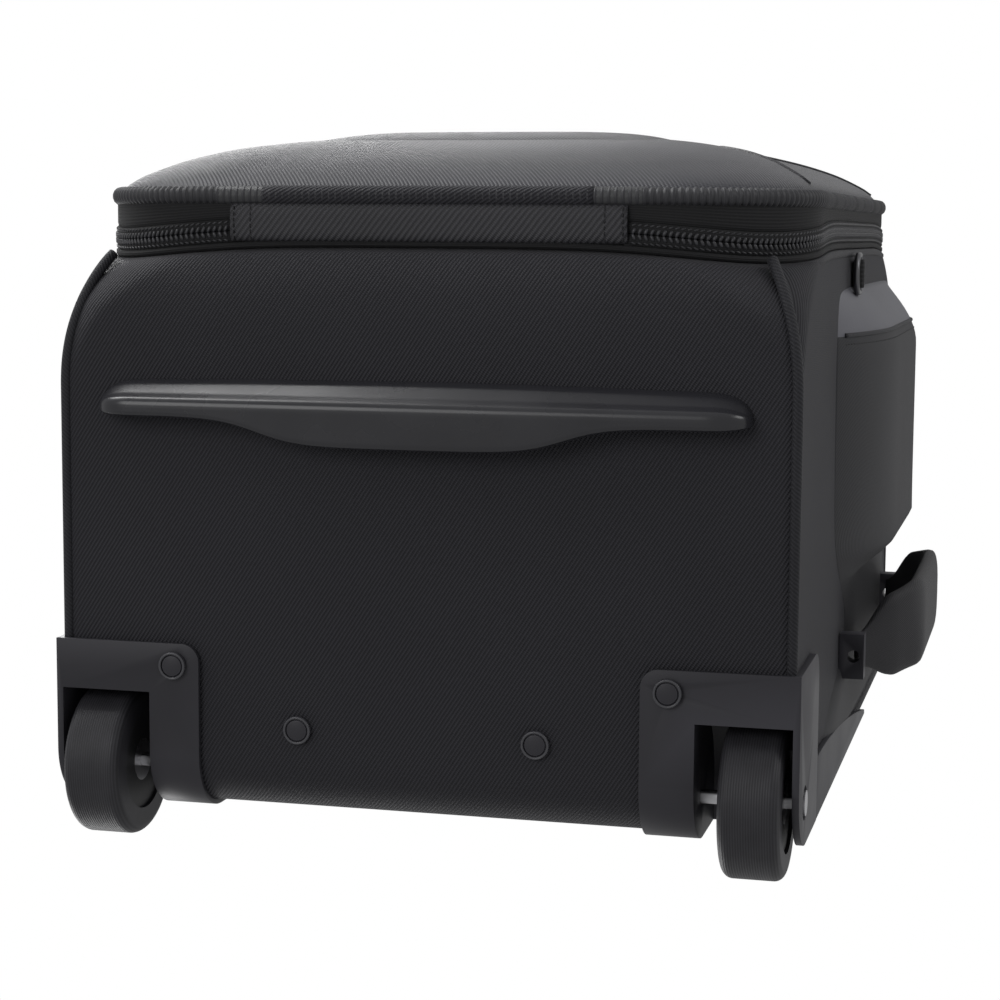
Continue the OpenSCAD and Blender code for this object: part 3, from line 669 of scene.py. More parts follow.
def build_zip(name, edges, toward, stands_for, body):
    """Half of the zip: toward is +1 where the coils lie at the higher y."""
    low_y, high_y = edges
    count = 300
    path, out = mouth_path(0, flap_half - 0.0015, count)
    path[:, 1] = (low_y + high_y) / 2
    half = (high_y - low_y) / 2
    strip = [(-half, 0.0002), (-half * 0.3, 0.0007), (half * 0.3, 0.0007), (half, 0.0002), (half, -0.002),
             (-half, -0.002)]
    parts = [sweep("tape", path, strip, out, tape_cloth)]
    teeth = int((mouth_length(0) - 2 * flap_half) / coil_pitch)
    path, out = mouth_path(0.0007, flap_half + 0.0025, teeth)
    coil = bead(0.0030, 0.0017, 0.0016, slant=radians(62) * toward)
    stitch = bead(0.0022, 0.0008, 0.0008, slant=radians(24) * toward)
    for pattern, inward in ((coil, half - 0.0011), (stitch, -half + 0.0012)):
        path[:, 1] = (low_y + high_y) / 2 + toward * inward
        parts.append(row_of("coils", pattern, path, out, 0.0, coil_nylon))
    bpy.data.objects.remove(coil)
    bpy.data.objects.remove(stitch)
    piece = droop(join(name, parts))
    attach(piece, body)
    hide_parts(stands_for)
    return piece


build_zip("body_zip", body_coil, -1, "body_zip_coil", "case")
build_zip("lid_zip", lid_coil, 1, "lid_zip_coil", "lid")

# ---- Tape between the zip and the shoulder ----
# A folded strip of twill carries the body half of the zip and is sewn to the mouth of the body.
path, out = mouth_path(0, 0, 240, whole=True)
path[:, 1] = (tape_low.y + tape_high.y) / 2
half = (tape_high.y - tape_low.y) / 2
tape = sweep("body_tape", path, [(-half, 0.0003), (-half * 0.5, 0.0012), (half * 0.5, 0.0012), (half, 0.0003),
                                 (half, -0.004), (-half, -0.004)], out, tape_cloth, ring=True)
droop(tape)
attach(tape, "case")
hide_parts("body_zip_tape")

# ---- Lid rim and binding ----
# The lid's rim is a folded strip of tape. Its front edge and the edge of the padded front are bound together
# by a fat ribbed roll, which is smooth where the ends of the binding overlap.
rim_low, rim_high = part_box("lid_rim")
bind_low, bind_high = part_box("lid_binding")
path, out = mouth_path(0, 0, 240, whole=True)
path[:, 1] = (rim_low.y + rim_high.y) / 2
half = (rim_high.y - rim_low.y) / 2
rim = sweep("lid_rim_tape", path, [(-half, 0.0), (-half * 0.6, 0.0004), (half * 0.7, 0.0004), (half, 0.0),
                                   (half, -0.0035), (-half, -0.0035)], out, tape_cloth, ring=True)
droop(rim)
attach(rim, "lid")
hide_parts("lid_rim")

binding_cloth = woven("binding_tape", (0.020, 0.020, 0.023), (0.055, 0.055, 0.064), 0.0009, 90, cross=0.6,
                      depth=0.3, roughness=0.5, specular=0.5)
roll_r = 0.0031
roll_rib = 0.0030
roll_steps = 2700
path, out = mouth_path(0, 0, roll_steps, whole=True)
path[:, 1] = (bind_low.y + bind_high.y) / 2 + 0.0006
ribs = np.abs(np.sin(np.arange(roll_steps) * mouth_length(0) / roll_steps * pi / roll_rib)) * 0.0010
roll = round_section(roll_r, 14, 0.86)[None] * (1 + (ribs / roll_r)[:, None, None])
roll[:, :, 1] -= 0.0009
parts = [sweep("roll", path, roll, out, binding_cloth, ring=True)]
# The overlap in the middle of the bottom is covered with twill, and its ends with smooth tape
sleeve_cloth = woven("sleeve_tape", (0.050, 0.051, 0.055), (0.062, 0.063, 0.067), 0.0008, 45, depth=0.2,
                     roughness=0.4, specular=0.5)
for first, last, grow, paint in ((-0.073, 0.073, 0.0006, twill), (-0.094, -0.072, 0.0003, sleeve_cloth),
                                 (0.072, 0.094, 0.0003, sleeve_cloth)):
    along = np.linspace(first, last, 30)
    line = np.stack([along, np.full(30, path[0, 1]), np.full(30, mouth_z0)], axis=1)
    sleeve = round_section(0.0037 + grow, 16, 0.80)
    sleeve[:, 1] -= 0.0009
    parts.append(sweep("sleeve", line, sleeve, (0, 0, -1), paint))
binding = join("lid_binding_roll", parts)
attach(binding, "lid")
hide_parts("lid_binding")

# ---- Padded front of the lid ----
# Foam under twill, sewn to the rim all round, so it swells to a shallow dome. The foam is thickest in the
# middle.
crown_low, crown_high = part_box("lid_panel")
lid_cloth = woven("lid_twill", (0.016, 0.016, 0.021), (0.062, 0.062, 0.078), rib_pitch, -33, source="Object",
                  turned=(-pi / 2, 0), depth=0.6, roughness=0.5, specular=0.45, sheen=0.2)


def dome(u, v):
    """From the rim, at v 0, over the dome to its middle; u runs once round."""
    count = 240
    path, out = mouth_path(0.0005, 0, count, whole=True)
    at = u * count
    i = np.floor(at).astype(int) % count
    f = (at - np.floor(at))[:, None]
    spot = path[i] * (1 - f) + path[(i + 1) % count] * f
    # A short straight skirt goes into the binding, and the dome starts from it
    skirt = 0.06
    shrink = 1 - np.clip((v - skirt) / (1 - skirt), 0, 1)
    rise = crown_high.y - (crown_high.y - crown_low.y - 0.0035) * (1 - shrink ** 5.2)
    rise = rise + 0.010 * np.clip(1 - v / skirt, 0, 1)
    return spot[:, 0] * shrink, rise, mid_z + (spot[:, 2] - mid_z) * shrink


def build_lid():
    piece = shaped_grid("lid_front", 240, 40, dome, lid_cloth, lining)
    activate(piece)
    bpy.ops.object.mode_set(mode="EDIT")
    bpy.ops.mesh.select_all(action="SELECT")
    bpy.ops.mesh.remove_doubles(threshold=1e-5)
    bpy.ops.mesh.select_all(action="DESELECT")
    bpy.ops.mesh.select_mode(type="EDGE")
    bpy.ops.mesh.select_non_manifold()
    bpy.ops.mesh.edge_face_add()
    bpy.ops.mesh.select_all(action="SELECT")
    bpy.ops.mesh.normals_make_consistent(inside=False)
    bpy.ops.object.mode_set(mode="OBJECT")
    return piece


def puff(piece, voxel, pressure, cap, sewn):
    """Evens the mesh and lets pressure swell it as cloth; sewn points hold, and cap limits each move."""
    finish_mesh(piece, "REMESH", mode="VOXEL", voxel_size=voxel)
    rest = read_points(piece)
    held = piece.vertex_groups.new(name="sewn")
    held.add(np.nonzero(sewn(*rest.T))[0].tolist(), 1.0, "REPLACE")
    cloth = piece.modifiers.new("cloth", "CLOTH")
    cloth.settings.use_pressure = True
    cloth.settings.uniform_pressure_force = pressure
    cloth.settings.effector_weights.gravity = 0
    cloth.settings.vertex_group_mass = "sewn"
    cloth.point_cache.frame_start, cloth.point_cache.frame_end = 1, 20
    for step in range(1, 21):
        scene.frame_set(step)
    activate(piece)
    bpy.ops.object.modifier_apply(modifier=cloth.name)
    move = read_points(piece) - rest
    length = np.linalg.norm(move, axis=1)[:, None]
    write_points(piece, rest + move * np.minimum(1, cap / np.maximum(length, 1e-9)))
    piece.vertex_groups.clear()
    scene.frame_set(1)
    finish_mesh(piece, "SMOOTH", factor=0.5, iterations=4)
    finish_mesh(piece, "SUBSURF", levels=1, render_levels=1)
    activate(piece)
    bpy.ops.object.shade_smooth()
    return piece


lid_front = build_lid()
puff(lid_front, 0.006, 4, 0.0022, lambda x, y, z: y > crown_high.y - 0.005)
cut_faces(lid_front, lambda x, y, z: y > crown_high.y + 0.0015)
thicken(lid_front, 0.003, inner=1)
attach(lid_front, "lid")
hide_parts("lid_panel")

# ---- Hinge flap ----
# A folded strip of coarse twill bridges the zip at the bottom, and the lid hinges on it. Both of its ends are
# turned in and stitched twice.
flap_cloth = woven("flap_twill", (0.004, 0.004, 0.005), (0.080, 0.079, 0.092), 0.0022, 38, depth=1.0,
                   roughness=0.5, specular=0.5, cross=0.4)
flap_low, flap_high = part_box("lid_hinge_flap")[0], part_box("body_hinge_flap")[1]


def flap_shape(u, v):
    x = (2 * u - 1) * flap_half
    y = flap_high.y + (flap_low.y - flap_high.y) * v
    roundness = np.sqrt(np.clip(1 - np.abs(2 * v - 1) ** 3, 0, 1))
    z = flap_low.z + 0.0028 - 0.0028 * roundness
    return x, y, z + 0.0006 * np.abs(2 * u - 1) ** 30


flap = shaped_grid("hinge_flap", 120, 24, flap_shape, flap_cloth)
thicken(flap, 0.0024)
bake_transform(flap)
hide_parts("body_hinge_flap", "lid_hinge_flap")

# ---- Moulded parts ----
# Wheel housings, guards, foot bar, bezel and brackets are injection moulded in black nylon with a satin
# grain. Their edges are worn a little brighter.


def moulded(name, dark, light, roughness, grain=1400, depth=0.12, specular=0.35, wear=0.5, coat=0.0):
    paint, nodes, links, shader = new_material(name, roughness, specular, Coat_Weight=coat,
                                               Coat_Roughness=0.25)
    place = nodes.new("ShaderNodeTexCoord")
    fine = noise(nodes, links, place, grain, 3)
    slow = noise(nodes, links, place, 30, 6)
    colour = mixed(nodes, links, "RGBA", slow, dark, light)
    edge = nodes.new("ShaderNodeNewGeometry").outputs["Pointiness"]
    sharp = ranged(nodes, links, edge, From_Min=0.52, From_Max=0.62, To_Max=wear)
    worn = tuple(min(1, c * 2.4) for c in light)
    links.new(mixed(nodes, links, "RGBA", sharp, colour, worn), shader.inputs["Base Color"])
    links.new(ranged(nodes, links, slow, To_Min=roughness - 0.08, To_Max=roughness + 0.08),
              shader.inputs["Roughness"])
    bumped(nodes, links, shader, fine, depth, 0.0002)
    return paint


def repaint(paint, *nodes):
    for name in nodes:
        part = frame["nodes"][name]
        part.data.materials.clear()
        part.data.materials.append(paint)


housing_nylon = moulded("housing_nylon", (0.034, 0.033, 0.039), (0.046, 0.045, 0.053), 0.45)
guard_nylon = moulded("guard_nylon", (0.038, 0.038, 0.043), (0.048, 0.048, 0.055), 0.45)
foot_rubber = moulded("foot_rubber", (0.024, 0.024, 0.029), (0.036, 0.036, 0.042), 0.27, depth=0.08,
                      specular=0.55)
repaint(housing_nylon, "left_wheel_housing", "right_wheel_housing", "side_handle_anchors",
        "top_handle_anchors", "trolley_bezel", "trolley_base", "grip", "housing_rivets", "base_rivets")
repaint(guard_nylon, "left_corner_guard", "right_corner_guard")
repaint(foot_rubber, "foot_bar")

# ---- Wheels ----
# Polyurethane tyres, turned true on their hubs, so fine lines run round the tread. Each runs on two ball
# bearings on a plated bolt.
tread_pitch = 0.0011


def turned_rubber():
    paint, nodes, links, shader = new_material("tyre_rubber", 0.5, 0.4)
    place = nodes.new("ShaderNodeTexCoord")
    lines = node(nodes, "TexWave", Scale=pi / 10 / tread_pitch, Distortion=0.4)
    links.new(place.outputs["Object"], lines.inputs["Vector"])
    tone = mixed(nodes, links, "FLOAT", 0.5, lines.outputs["Fac"], noise(nodes, links, place, 120, 5))
    links.new(mixed(nodes, links, "RGBA", tone, (0.012, 0.012, 0.014), (0.060, 0.059, 0.068)),
              shader.inputs["Base Color"])
    bumped(nodes, links, shader, tone, 0.6, 0.0003)
    return paint


def brushed(name, colour, roughness, scale=(60, 60, 900), metallic=1.0):
    paint, nodes, links, shader = new_material(name, roughness, Metallic=metallic)
    place = nodes.new("ShaderNodeTexCoord")
    mapping = node(nodes, "Mapping", Scale=scale)
    links.new(place.outputs["Object"], mapping.inputs["Vector"])
    grain = node(nodes, "TexNoise", Scale=1, Detail=4)
    links.new(mapping.outputs["Vector"], grain.inputs["Vector"])
    dim = tuple(c * 0.7 for c in colour)
    links.new(mixed(nodes, links, "RGBA", grain.outputs["Fac"], dim, colour), shader.inputs["Base Color"])
    rough = ranged(nodes, links, grain.outputs["Fac"], To_Min=roughness - 0.1, To_Max=roughness + 0.1)
    links.new(rough, shader.inputs["Roughness"])
    return paint


tyre_rubber = turned_rubber()
hub_nylon = moulded("hub_nylon", (0.018, 0.018, 0.019), (0.028, 0.028, 0.030), 0.5)
plated_steel = brushed("plated_steel", (0.62, 0.62, 0.64), 0.3)
tube_metal = brushed("tube_metal", (0.45, 0.45, 0.47), 0.32, scale=(900, 900, 30))
zip_metal = brushed("zip_metal", (0.16, 0.16, 0.17), 0.35)
button_nylon = moulded("button_nylon", (0.10, 0.10, 0.105), (0.13, 0.13, 0.135), 0.4)
repaint(tyre_rubber, "left_tyre", "right_tyre")
repaint(hub_nylon, "left_hub", "right_hub")
repaint(plated_steel, "axle_bolts", "axle_nuts", "left_bearings", "right_bearings", "frame_wire")
repaint(tube_metal, "left_outer_tube", "right_outer_tube", "left_mid_tube", "right_mid_tube",
        "left_inner_tube", "right_inner_tube")
repaint(zip_metal, "side_ring", "left_zip_slider", "left_zip_pull", "right_zip_slider", "right_zip_pull")
repaint(button_nylon, "release_button")
repaint(lining, "trolley_lining")


def refined(solid, width, paint):
    """A copy of a moulded node with its edges rounded, as moulds leave them. It stands for the node."""
    source = frame["nodes"][solid]
    piece = bpy.data.objects.new(solid + "_moulding", source.data.copy())
    piece.data.name = piece.name
    scene.collection.objects.link(piece)
    piece.data.materials.clear()
    piece.data.materials.append(paint)
    activate(piece)
    bpy.ops.mesh.customdata_custom_splitnormals_clear()
    bpy.ops.object.mode_set(mode="EDIT")
    bpy.ops.mesh.select_all(action="SELECT")
    bpy.ops.mesh.remove_doubles(threshold=1e-6)
    bpy.ops.mesh.dissolve_limited(angle_limit=radians(1))
    bpy.ops.object.mode_set(mode="OBJECT")
    if width:
        finish_mesh(piece, "BEVEL", width=width, segments=2, limit_method="ANGLE", angle_limit=radians(35),
                    use_clamp_overlap=True)
    activate(piece)
    bpy.ops.object.shade_smooth_by_angle(angle=radians(32))
    bodies = frame["record"]["behaviour"]["bodies"]
    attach(piece, next(body for body, solids in bodies.items() if solid in solids))
    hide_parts(solid)
    return piece


for solid, width in (("left_wheel_housing", 0.0005), ("right_wheel_housing", 0.0005),
                     ("trolley_bezel", 0.0006),
                     ("grip", 0.0012), ("side_handle_anchors", 0.0008), ("top_handle_anchors", 0.0012),
                     ("housing_rivets", 0.0004), ("base_rivets", 0.0004)):
    refined(solid, width, housing_nylon)
for solid in ("left_corner_guard", "right_corner_guard"):
    refined(solid, 0.0004, guard_nylon)


def rivet_rims(solid):
    """The raised rim of each rivet's head, painted paler than the housing as a painted highlight."""
    low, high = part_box(solid)
    r = (high.y - low.y) / 2
    parts = []
    for sx in (1, -1):
        deselect()
        bpy.ops.mesh.primitive_torus_add(major_segments=40, minor_segments=10, major_radius=r - 0.0006,
                                         minor_radius=0.0006,
                                         location=(sx * (high.x - r), low.y + r, low.z + 0.0003))
        bpy.ops.object.transform_apply(location=True)
        bpy.ops.object.shade_smooth()
        parts.append(bpy.context.object)
        parts[-1].data.materials.append(rivet_rim_painted_highlight)
    piece = join(solid + "_rims", parts)
    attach(piece, "case")


# The rims are coloured paler than the housing nylon: a painted highlight standing in for the glint on them.
rivet_rim_painted_highlight = moulded("rivet_rim_painted_highlight", (0.055, 0.055, 0.062), (0.075, 0.075, 0.085), 0.3, specular=0.6)
for solid in ("housing_rivets", "base_rivets"):
    rivet_rims(solid)

# ---- Foot bar ----
# A solid rubber-like moulding screwed on from inside. Its front slopes back to the fabric and is polished by
# use, its face is level, and both ends taper into the panel.
foot_low, foot_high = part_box("foot_bar")


def foot_shape(u, v):
    tip = foot_high.x
    x = (2 * u - 1) * tip
    at = np.abs(x) / tip
    end = np.sqrt(np.clip(1 - np.clip((np.abs(x) - tip + 0.018) / 0.018, 0, 1) ** 2.2, 0, 1))
    ridge = -0.0088
    rear = ridge + 0.006 + 0.0116 / (1 + np.exp((at - 0.467) / 0.063))
    front = foot_low.y + 0.002 * at ** 2
    middle = ridge + 0.003
    # Down the slope, round the ridge, over the face and down its back edge
    stations = np.array([0, 0.16, 0.30, 0.38, 0.44, 0.5, 0.56, 0.80, 0.87, 0.93, 1.0])
    across = [front, front + 0.0018, (front + ridge) / 2 + 0.0008, ridge - 0.0022, ridge - 0.0008,
              ridge + 0.0006, ridge + 0.002, rear - 0.0022, rear - 0.0008, rear, rear + 0.0004]
    height = [0, 0.30, 0.66, 0.90, 0.97, 0.995, 1.0, 1.0, 0.97, 0.80, 0]
    y, z = np.zeros_like(u), np.zeros_like(u)
    for k in range(len(stations) - 1):
        inside = (v >= stations[k]) & (v <= stations[k + 1])
        f = np.clip((v - stations[k]) / (stations[k + 1] - stations[k]), 0, 1)
        y = np.where(inside, across[k] + (across[k + 1] - across[k]) * f, y)
        z = np.where(inside, height[k] + (height[k + 1] - height[k]) * f, z)
    y = middle + (y - middle) * (0.15 + 0.85 * end)
    return x, y, foot_high.z + 0.0005 - (foot_high.z + 0.0005) * z * end


foot = shaped_grid("foot_bar_moulding", 180, 60, foot_shape, foot_rubber)
finish_mesh(foot, "SMOOTH", factor=0.5, iterations=2)
activate(foot)
bpy.ops.object.mode_set(mode="EDIT")
bpy.ops.mesh.select_all(action="SELECT")
bpy.ops.mesh.flip_normals()
bpy.ops.object.mode_set(mode="OBJECT")
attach(foot, "case")
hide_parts("foot_bar")

# ---- Side pockets ----
# Each side carries a full, padded pocket. Its lower edge runs in a long S across the side, its front slope is
# a separate panel with a seam at the crest, and behind it the padding thins out under the handle. The slope's
# cloth is painted far paler than the pocket: a painted highlight where the front lamp falls on it.
pocket_low, pocket_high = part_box("right_side_pocket")
pocket_cloth = woven("pocket_twill", (0.012, 0.012, 0.014), (0.046, 0.046, 0.054), 0.0012, 40,
                     source="Object", turned=(0, pi / 2), depth=0.35, roughness=0.6, specular=0.3, sheen=0.1)
# Painted highlight: the front slope's cloth is painted far paler than the pocket twill, standing in for lamp light
# on it.
slope_painted_highlight_cloth = woven("pocket_slope_painted_highlight", (0.16, 0.16, 0.184), (0.24, 0.24, 0.275), 0.0008, 40,
                    source="Object", turned=(0, pi / 2), depth=0.15, roughness=0.5, specular=0.4)
pocket_front = pocket_low.y - 0.010
pocket_back = back_y - 0.006


def near_edge(y):
    """Height of the pocket's lower edge: level in front, a hump under the handle, then down to the guard."""
    level = pocket_low.z + 0.021
    hump = 0.072 * np.exp(-(((y - 0.107) / 0.032) ** 2))
    fall = np.clip((y - 0.112) / 0.038, 0, 1)
    return level + hump - 0.045 * fall * fall * (3 - 2 * fall)


def pocket_shape(right):
    def shape(u, v):
        y = pocket_front + (pocket_back - pocket_front) * v
        z = near_edge(y) + (pocket_high.z + 0.006 - near_edge(y)) * u
        full = pocket_high.x - side_x - 0.003
        thin = 0.0024
        fall = np.clip((y - 0.070) / 0.018, 0, 1)
        tall = full + (thin - full) * (fall * fall * (3 - 2 * fall))
        rise = 1 - (1 - np.clip(u / (0.16 + 0.24 * (tall - thin) / (full - thin)), 0, 1)) ** 2.2
        drop = 1 - (1 - np.clip((1 - u) / 0.2, 0, 1)) ** 2.2
        front = 1 - (1 - np.clip((y - pocket_front) / 0.034, 0, 1)) ** 1.8
        rear = 1 - (1 - np.clip((pocket_back - y) / 0.012, 0, 1)) ** 2
        x = side_x - 0.0012 + (tall + 0.0012) * rise * drop * front * rear
        return (x if right else -x), y, z
    return shape


for name, right in (("right_side_pocket", True), ("left_side_pocket", False)):
    pocket = shaped_grid(name + "_padding", 90, 70, pocket_shape(right), pocket_cloth, slope_painted_highlight_cloth)
    for face in pocket.data.polygons:
        # The faces of the front slope get the pale cloth, which is the painted highlight.
        face.material_index = 1 if face.center.y < pocket_front + 0.022 else 0
    thicken(pocket, 0.003 if right else -0.003, offset=1)
    face_outward(pocket)
    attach(pocket, "case")
    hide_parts(name)

# ---- Side handle ----
# A padded band with a webbing core, folded round two pins in moulded brackets. It stands off the side as a
# squared loop.
pin_z = [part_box("side_handle_strap")[0].z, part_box("side_handle_strap")[1].z]
handle_low, handle_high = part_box("side_handle_pad")
handle_mid_y = (handle_low.y + handle_high.y) / 2
handle_mid_z = (handle_low.z + handle_high.z) / 2
handle_cloth = woven("handle_twill", (0.016, 0.016, 0.018), (0.056, 0.055, 0.062), 0.0011, 20, depth=0.4,
                     roughness=0.55, specular=0.35)


def smooth_path(corners, count, rounds):
    """A path through corner points, evenly spaced, whose corners are rubbed round."""
    corners = np.asarray(corners, float)
    length = np.concatenate([[0], np.cumsum(np.linalg.norm(np.diff(corners, axis=0), axis=1))])
    at = np.linspace(0, length[-1], count)
    path = np.stack([np.interp(at, length, corners[:, k]) for k in range(3)], axis=1)
    for _ in range(rounds):
        path[1:-1] = (path[:-2] + path[1:-1] * 2 + path[2:]) / 4
    return path


def pad_section(width, thick, power=3.2, sides=28):
    angle = np.arange(sides) * 2 * pi / sides
    c, s = np.cos(angle), np.sin(angle)
    return np.stack([width / 2 * np.sign(c) * np.abs(c) ** (2 / power),
                     thick / 2 * np.sign(s) * np.abs(s) ** (2 / power)], axis=1)


pivot_x = side_x + 0.007
reach = (handle_low.x + handle_high.x) / 2
corners = [(pivot_x, 0, -0.094), (pivot_x + 0.005, 0, -0.088), (reach, 0, -0.058), (reach, 0, 0.058),
           (pivot_x + 0.005, 0, 0.088), (pivot_x, 0, 0.094)]
path = smooth_path(corners, 90, 14) + np.array([0, handle_mid_y, handle_mid_z])
path[:, 1] -= 0.010 * (path[:, 0] - pivot_x) / (reach - pivot_x)
inner = np.clip((0.094 - np.abs(path[:, 2] - handle_mid_z)) / 0.022, 0, 1)
inner = inner * inner * (3 - 2 * inner)
sections = np.array([pad_section(0.018 + 0.026 * k, 0.0030 + 0.0063 * k) for k in inner])
handle = sweep("side_handle_loop", path, sections, (1, 0, 0.0001), handle_cloth)
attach(handle, "side_handle")
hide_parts("side_handle_strap", "side_handle_pad")

# ---- Top handle ----
# Webbing with a padded sleeve, held by moulded end housings in which its crossbars can slide.
strap_low, strap_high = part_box("top_handle_strap")
pad_low, pad_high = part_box("top_handle_pad")
top_mid_y = (pad_low.y + pad_high.y) / 2
webbing = woven("handle_webbing", (0.014, 0.014, 0.015), (0.036, 0.036, 0.038), 0.0022, 0, depth=0.8,
                roughness=0.6, cross=0.5)
half = strap_high.x - 0.004
level = pad_low.z + 0.0052
corners = [(-half, 0, top_z + 0.0016), (-half + 0.022, 0, top_z + 0.0016), (-half + 0.036, 0, level),
           (half - 0.036, 0, level), (half - 0.022, 0, top_z + 0.0016), (half, 0, top_z + 0.0016)]
path = smooth_path(corners, 90, 10) + np.array([0, top_mid_y, 0])
strap = sweep("top_handle_webbing", path, pad_section(0.030, 0.0024, 6), (0, 0, 1), webbing)
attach(strap, "top_handle")
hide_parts("top_handle_strap")
line = smooth_path([(pad_low.x + 0.002, 0, level), (pad_high.x - 0.002, 0, level)], 40, 0)
line += np.array([0, top_mid_y, 0])
ends = np.sqrt(np.clip(1 - np.abs(np.linspace(-1, 1, 40)) ** 8, 0.1, 1))
sleeve = sweep("top_handle_sleeve", line, np.array([pad_section(0.034 * k, 0.0085 * k) for k in ends]),
               (0, 0, 1), handle_cloth)
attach(sleeve, "top_handle")
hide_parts("top_handle_pad")

# ---- Flat pocket on the lid ----
# A thin document pocket lies on the crown of the lid and closes with a coil zip across its upper part.
flat_low, flat_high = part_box("lid_pocket")
zip_low, zip_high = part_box("lid_pocket_zip")
zip_z = (zip_low.z + zip_high.z) / 2


def onto(piece, points, direction):
    """Moves each point along direction until it meets a finished piece."""
    tree = BVHTree.FromObject(piece, bpy.context.evaluated_depsgraph_get())
    direction = Vector(direction)
    landed = []
    for point in points:
        spot = tree.ray_cast(Vector(point) - direction * 0.3, direction)[0]
        landed.append(spot if spot else (landed[-1] if landed else Vector(point)))
    return np.array([tuple(spot) for spot in landed])


def flat_shape(u, v):
    a, b = 2 * u - 1, 2 * v - 1
    x = flat_high.x * a
    z = (flat_low.z + flat_high.z) / 2 + (flat_high.z - flat_low.z) / 2 * b
    swell = (1 - np.abs(a) ** 4) ** 0.7 * (1 - np.abs(b) ** 4) ** 0.7
    groove = 0.0016 * np.exp(-((z - zip_z) / 0.004) ** 2)
    face = onto(lid_front, np.stack([x, np.zeros_like(x), z], axis=1), (0, 1, 0))[:, 1]
    return x, face + 0.0004 - (0.0036 - groove) * swell, z


flat_pocket = shaped_grid("lid_pocket_front", 80, 130, flat_shape, lid_cloth)
thicken(flat_pocket, 0.0016)
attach(flat_pocket, "lid")
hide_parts("lid_pocket")


def build_pocket_zip():
    reach = zip_high.x - 0.003
    line = np.linspace(-reach, reach, 60)
    path = onto(flat_pocket, np.stack([line, 0 * line, 0 * line + zip_z], axis=1), (0, 1, 0))
    strip = [(-0.004, 0), (-0.0015, 0.0006), (0.0015, 0.0006), (0.004, 0), (0.004, -0.001), (-0.004, -0.001)]
    parts = [sweep("tape", path, strip, (0, -1, 0), tape_cloth)]
    teeth = int(2 * reach / 0.0018)
    at = np.linspace(-reach, reach, teeth)
    row = np.stack([at, np.interp(at, line, path[:, 1]) - 0.0008, np.full(teeth, zip_z)], axis=1)
    for slant, shift in ((0.9, 0.0006), (-0.9, -0.0006)):
        coil = bead(0.0026, 0.0011, 0.0012, slant=slant)
        parts.append(row_of("coils", coil, row, np.broadcast_to([0.0, -1, 0], row.shape), shift, coil_nylon))
        bpy.data.objects.remove(coil)
    return join("lid_pocket_zip_coils", parts)


pocket_zip = build_pocket_zip()
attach(pocket_zip, "lid")
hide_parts("lid_pocket_zip")


def rounded_block(middle, size, edge):
    deselect()
    bpy.ops.mesh.primitive_cube_add(size=1, location=middle, scale=size)
    bpy.ops.object.transform_apply(location=True, rotation=True, scale=True)
    bpy.ops.object.mode_set(mode="EDIT")
    bpy.ops.mesh.bevel(offset=edge, segments=3, affect="EDGES")
    bpy.ops.object.mode_set(mode="OBJECT")
    return bpy.context.object


def build_pocket_slider():
    """A low slider whose flat puller lies along the zip."""
    low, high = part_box("pocket_zip_slider")
    x = low.x + 0.005
    face = onto(flat_pocket, [(x, 0, zip_z)], (0, 1, 0))[0, 1]
    shoe = rounded_block((x, face - 0.0014, zip_z), (0.0095, 0.0026, 0.0090), 0.0008)
    puller = rounded_block((x + 0.011, face - 0.0034, zip_z), (0.021, 0.0011, 0.0050), 0.0005)
    slider = join("lid_pocket_slider", [shoe, puller])
    slider.data.materials.clear()
    slider.data.materials.append(zip_metal)
    activate(slider)
    bpy.ops.object.shade_smooth_by_angle(angle=radians(30))
    return slider


slider = build_pocket_slider()
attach(slider, "pocket_slider")
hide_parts("pocket_zip_slider")

# ---- Lining and ring tab ----
# The board that hides the trolley is covered with lining cloth. A short loop of webbing on the side holds the
# ring.
lining_low, lining_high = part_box("trolley_lining")


def lining_shape(u, v):
    a, b = 1 - 2 * u, 2 * v - 1
    x = lining_high.x * a
    z = (lining_low.z + lining_high.z) / 2 + (lining_high.z - lining_low.z) / 2 * b
    return x, lining_low.y + 0.0012 - 0.0012 * (1 - a**6) * (1 - b**6) + 0 * z, z


inside = shaped_grid("compartment_lining", 40, 60, lining_shape, lining)
thicken(inside, 0.0012)
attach(inside, "case")
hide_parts("trolley_lining")

tab_low, tab_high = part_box("side_ring_tab")
bar_x, bar_z = side_x + 0.0032, (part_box("side_ring")[1].z - 0.0014)
loop = [(side_x + 0.0004, 0, tab_high.z), (side_x + 0.0004, 0, bar_z + 0.003)]
loop += [(bar_x - 0.0022 * cos(t), 0, bar_z - 0.0022 * sin(t)) for t in np.linspace(0, pi, 9)]
loop += [(side_x + 0.0030, 0, bar_z + 0.008), (side_x + 0.0018, 0, bar_z + 0.012),
         (side_x + 0.0016, 0, tab_high.z)]
tab_mid = (tab_low.y + tab_high.y) / 2
path = smooth_path(loop, 70, 2) + np.array([0, tab_mid, 0])
normal = np.gradient(path, axis=0)
normal = np.stack([normal[:, 2], np.zeros(len(path)), -normal[:, 0]], axis=1)
normal /= np.linalg.norm(normal, axis=1)[:, None]
tab = sweep("ring_tab_webbing", path, pad_section(0.0138, 0.0011, 6, 12), normal, webbing)
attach(tab, "case")
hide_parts("side_ring_tab")

# ---- Seams and stitches ----
# Bonded nylon thread in long stitches: two rows close each end of the hinge flap, one row follows the crest
# of each side pocket, and two piped arcs shape the front of the lid. A corded roll covers the seam of the
# mouth.
thread_nylon = woven("thread_nylon", (0.020, 0.020, 0.022), (0.050, 0.050, 0.054), 0.0008, 50,
                     source="Object", depth=0.6, roughness=0.5)


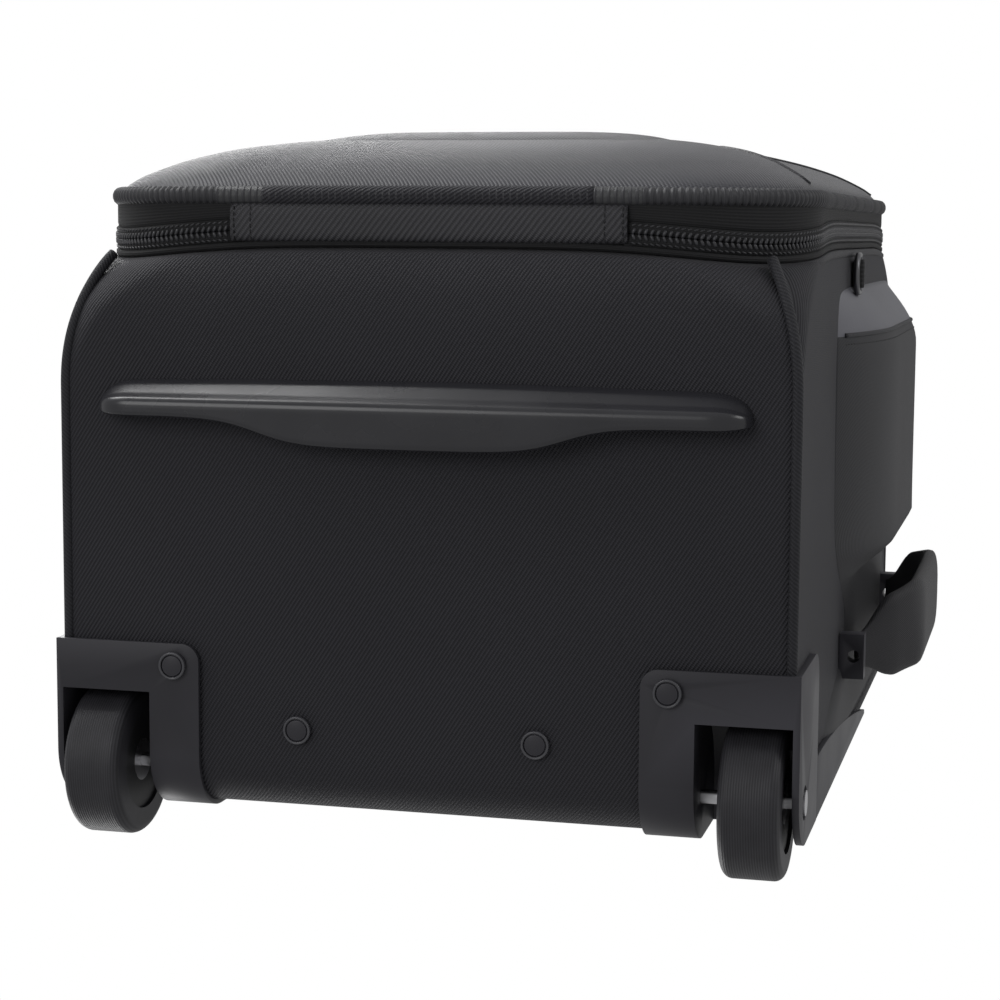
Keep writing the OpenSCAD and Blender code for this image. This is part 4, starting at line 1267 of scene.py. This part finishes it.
def stitched(name, path, out, pitch, body):
    """A row of stitches along a path, each a small rounded bar half sunk in the cloth."""
    path = np.asarray(path, float)
    length = np.concatenate([[0], np.cumsum(np.linalg.norm(np.diff(path, axis=0), axis=1))])
    at = np.arange(pitch / 2, length[-1], pitch)
    spots = np.stack([np.interp(at, length, path[:, k]) for k in range(3)], axis=1)
    out = np.broadcast_to(np.asarray(out, float), spots.shape)
    bar = bead(pitch * 0.72, 0.0007, 0.0007)
    piece = row_of(name, bar, spots, out, 0.0, thread_nylon)
    bpy.data.objects.remove(bar)
    if body:
        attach(piece, body)
    return piece


rows = []
for x in (-flap_half + 0.0018, -flap_half + 0.0095, flap_half - 0.0095, flap_half - 0.0018):
    along = np.linspace(flap_low.y + 0.0012, flap_high.y - 0.0012, 24)
    v = (along - flap_high.y) / (flap_low.y - flap_high.y)
    roundness = np.sqrt(np.clip(1 - np.abs(2 * v - 1) ** 3, 0, 1))
    z = flap_low.z + 0.0028 - 0.0028 * roundness - 0.0001
    rows.append(stitched("flap_stitches", np.stack([0 * along + x, along, z], axis=1), (0, 0, -1), 0.0026,
                         None))
flap_stitches = join("flap_stitches", rows)
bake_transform(flap_stitches)

for sx, side_name in ((1, "right"), (-1, "left")):
    padding = bpy.data.objects[side_name + "_side_pocket_padding"]
    z = np.linspace(near_edge(pocket_front + 0.022) + 0.010, pocket_high.z - 0.006, 90)
    line = onto(padding, np.stack([0 * z + sx * side_x, 0 * z + pocket_front + 0.022, z], axis=1),
                (-sx, 0, 0))
    seam = sweep(side_name + "_pocket_seam", line, round_section(0.0011, 8), (sx, 0, 0), piping_cloth)
    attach(seam, "case")
    row = onto(padding, line + np.array([0, 0.0042, 0]), (-sx, 0, 0))
    stitched(side_name + "_pocket_stitches", row, (sx, 0, 0), 0.0032, "case")

arcs = []
for sx in (1, -1):
    t = np.linspace(0, 1, 120)
    x = sx * (mouth_x - 0.006 - 0.060 * np.sin(pi * t) ** 0.8)
    z = mouth_z0 + 0.062 + (2 * (mid_z - mouth_z0) - 0.124) * t
    line = onto(lid_front, np.stack([x, 0 * x, z], axis=1), (0, 1, 0))
    line = line[line[:, 1] < crown_high.y]
    line = line[np.append(True, np.linalg.norm(np.diff(line, axis=0), axis=1) > 1e-4)]
    arcs.append(sweep("arc", line, round_section(0.0010, 8), (0, -1, 0), piping_cloth))
arcs = join("lid_piping", arcs)
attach(arcs, "lid")

path, out = mouth_path(0.0, 0.118, 220)
path[:, 1] = mouth_y + 0.0022
mouth_roll = droop(sweep("mouth_roll", path, round_section(0.0021, 10), out, piping_cloth))
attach(mouth_roll, "case")

# The frame wire of the mouth runs in a hem
wire_low, wire_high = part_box("frame_wire")
wire_r = (wire_high.y - wire_low.y) / 2
path, out = mouth_path(wire_high.x - wire_r - mouth_x, 0, 300, whole=True)
path[:, 1] = (wire_low.y + wire_high.y) / 2
hem = sweep("mouth_hem", path, round_section(wire_r + 0.0008, 10), out, tape_cloth, ring=True)
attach(hem, "case")
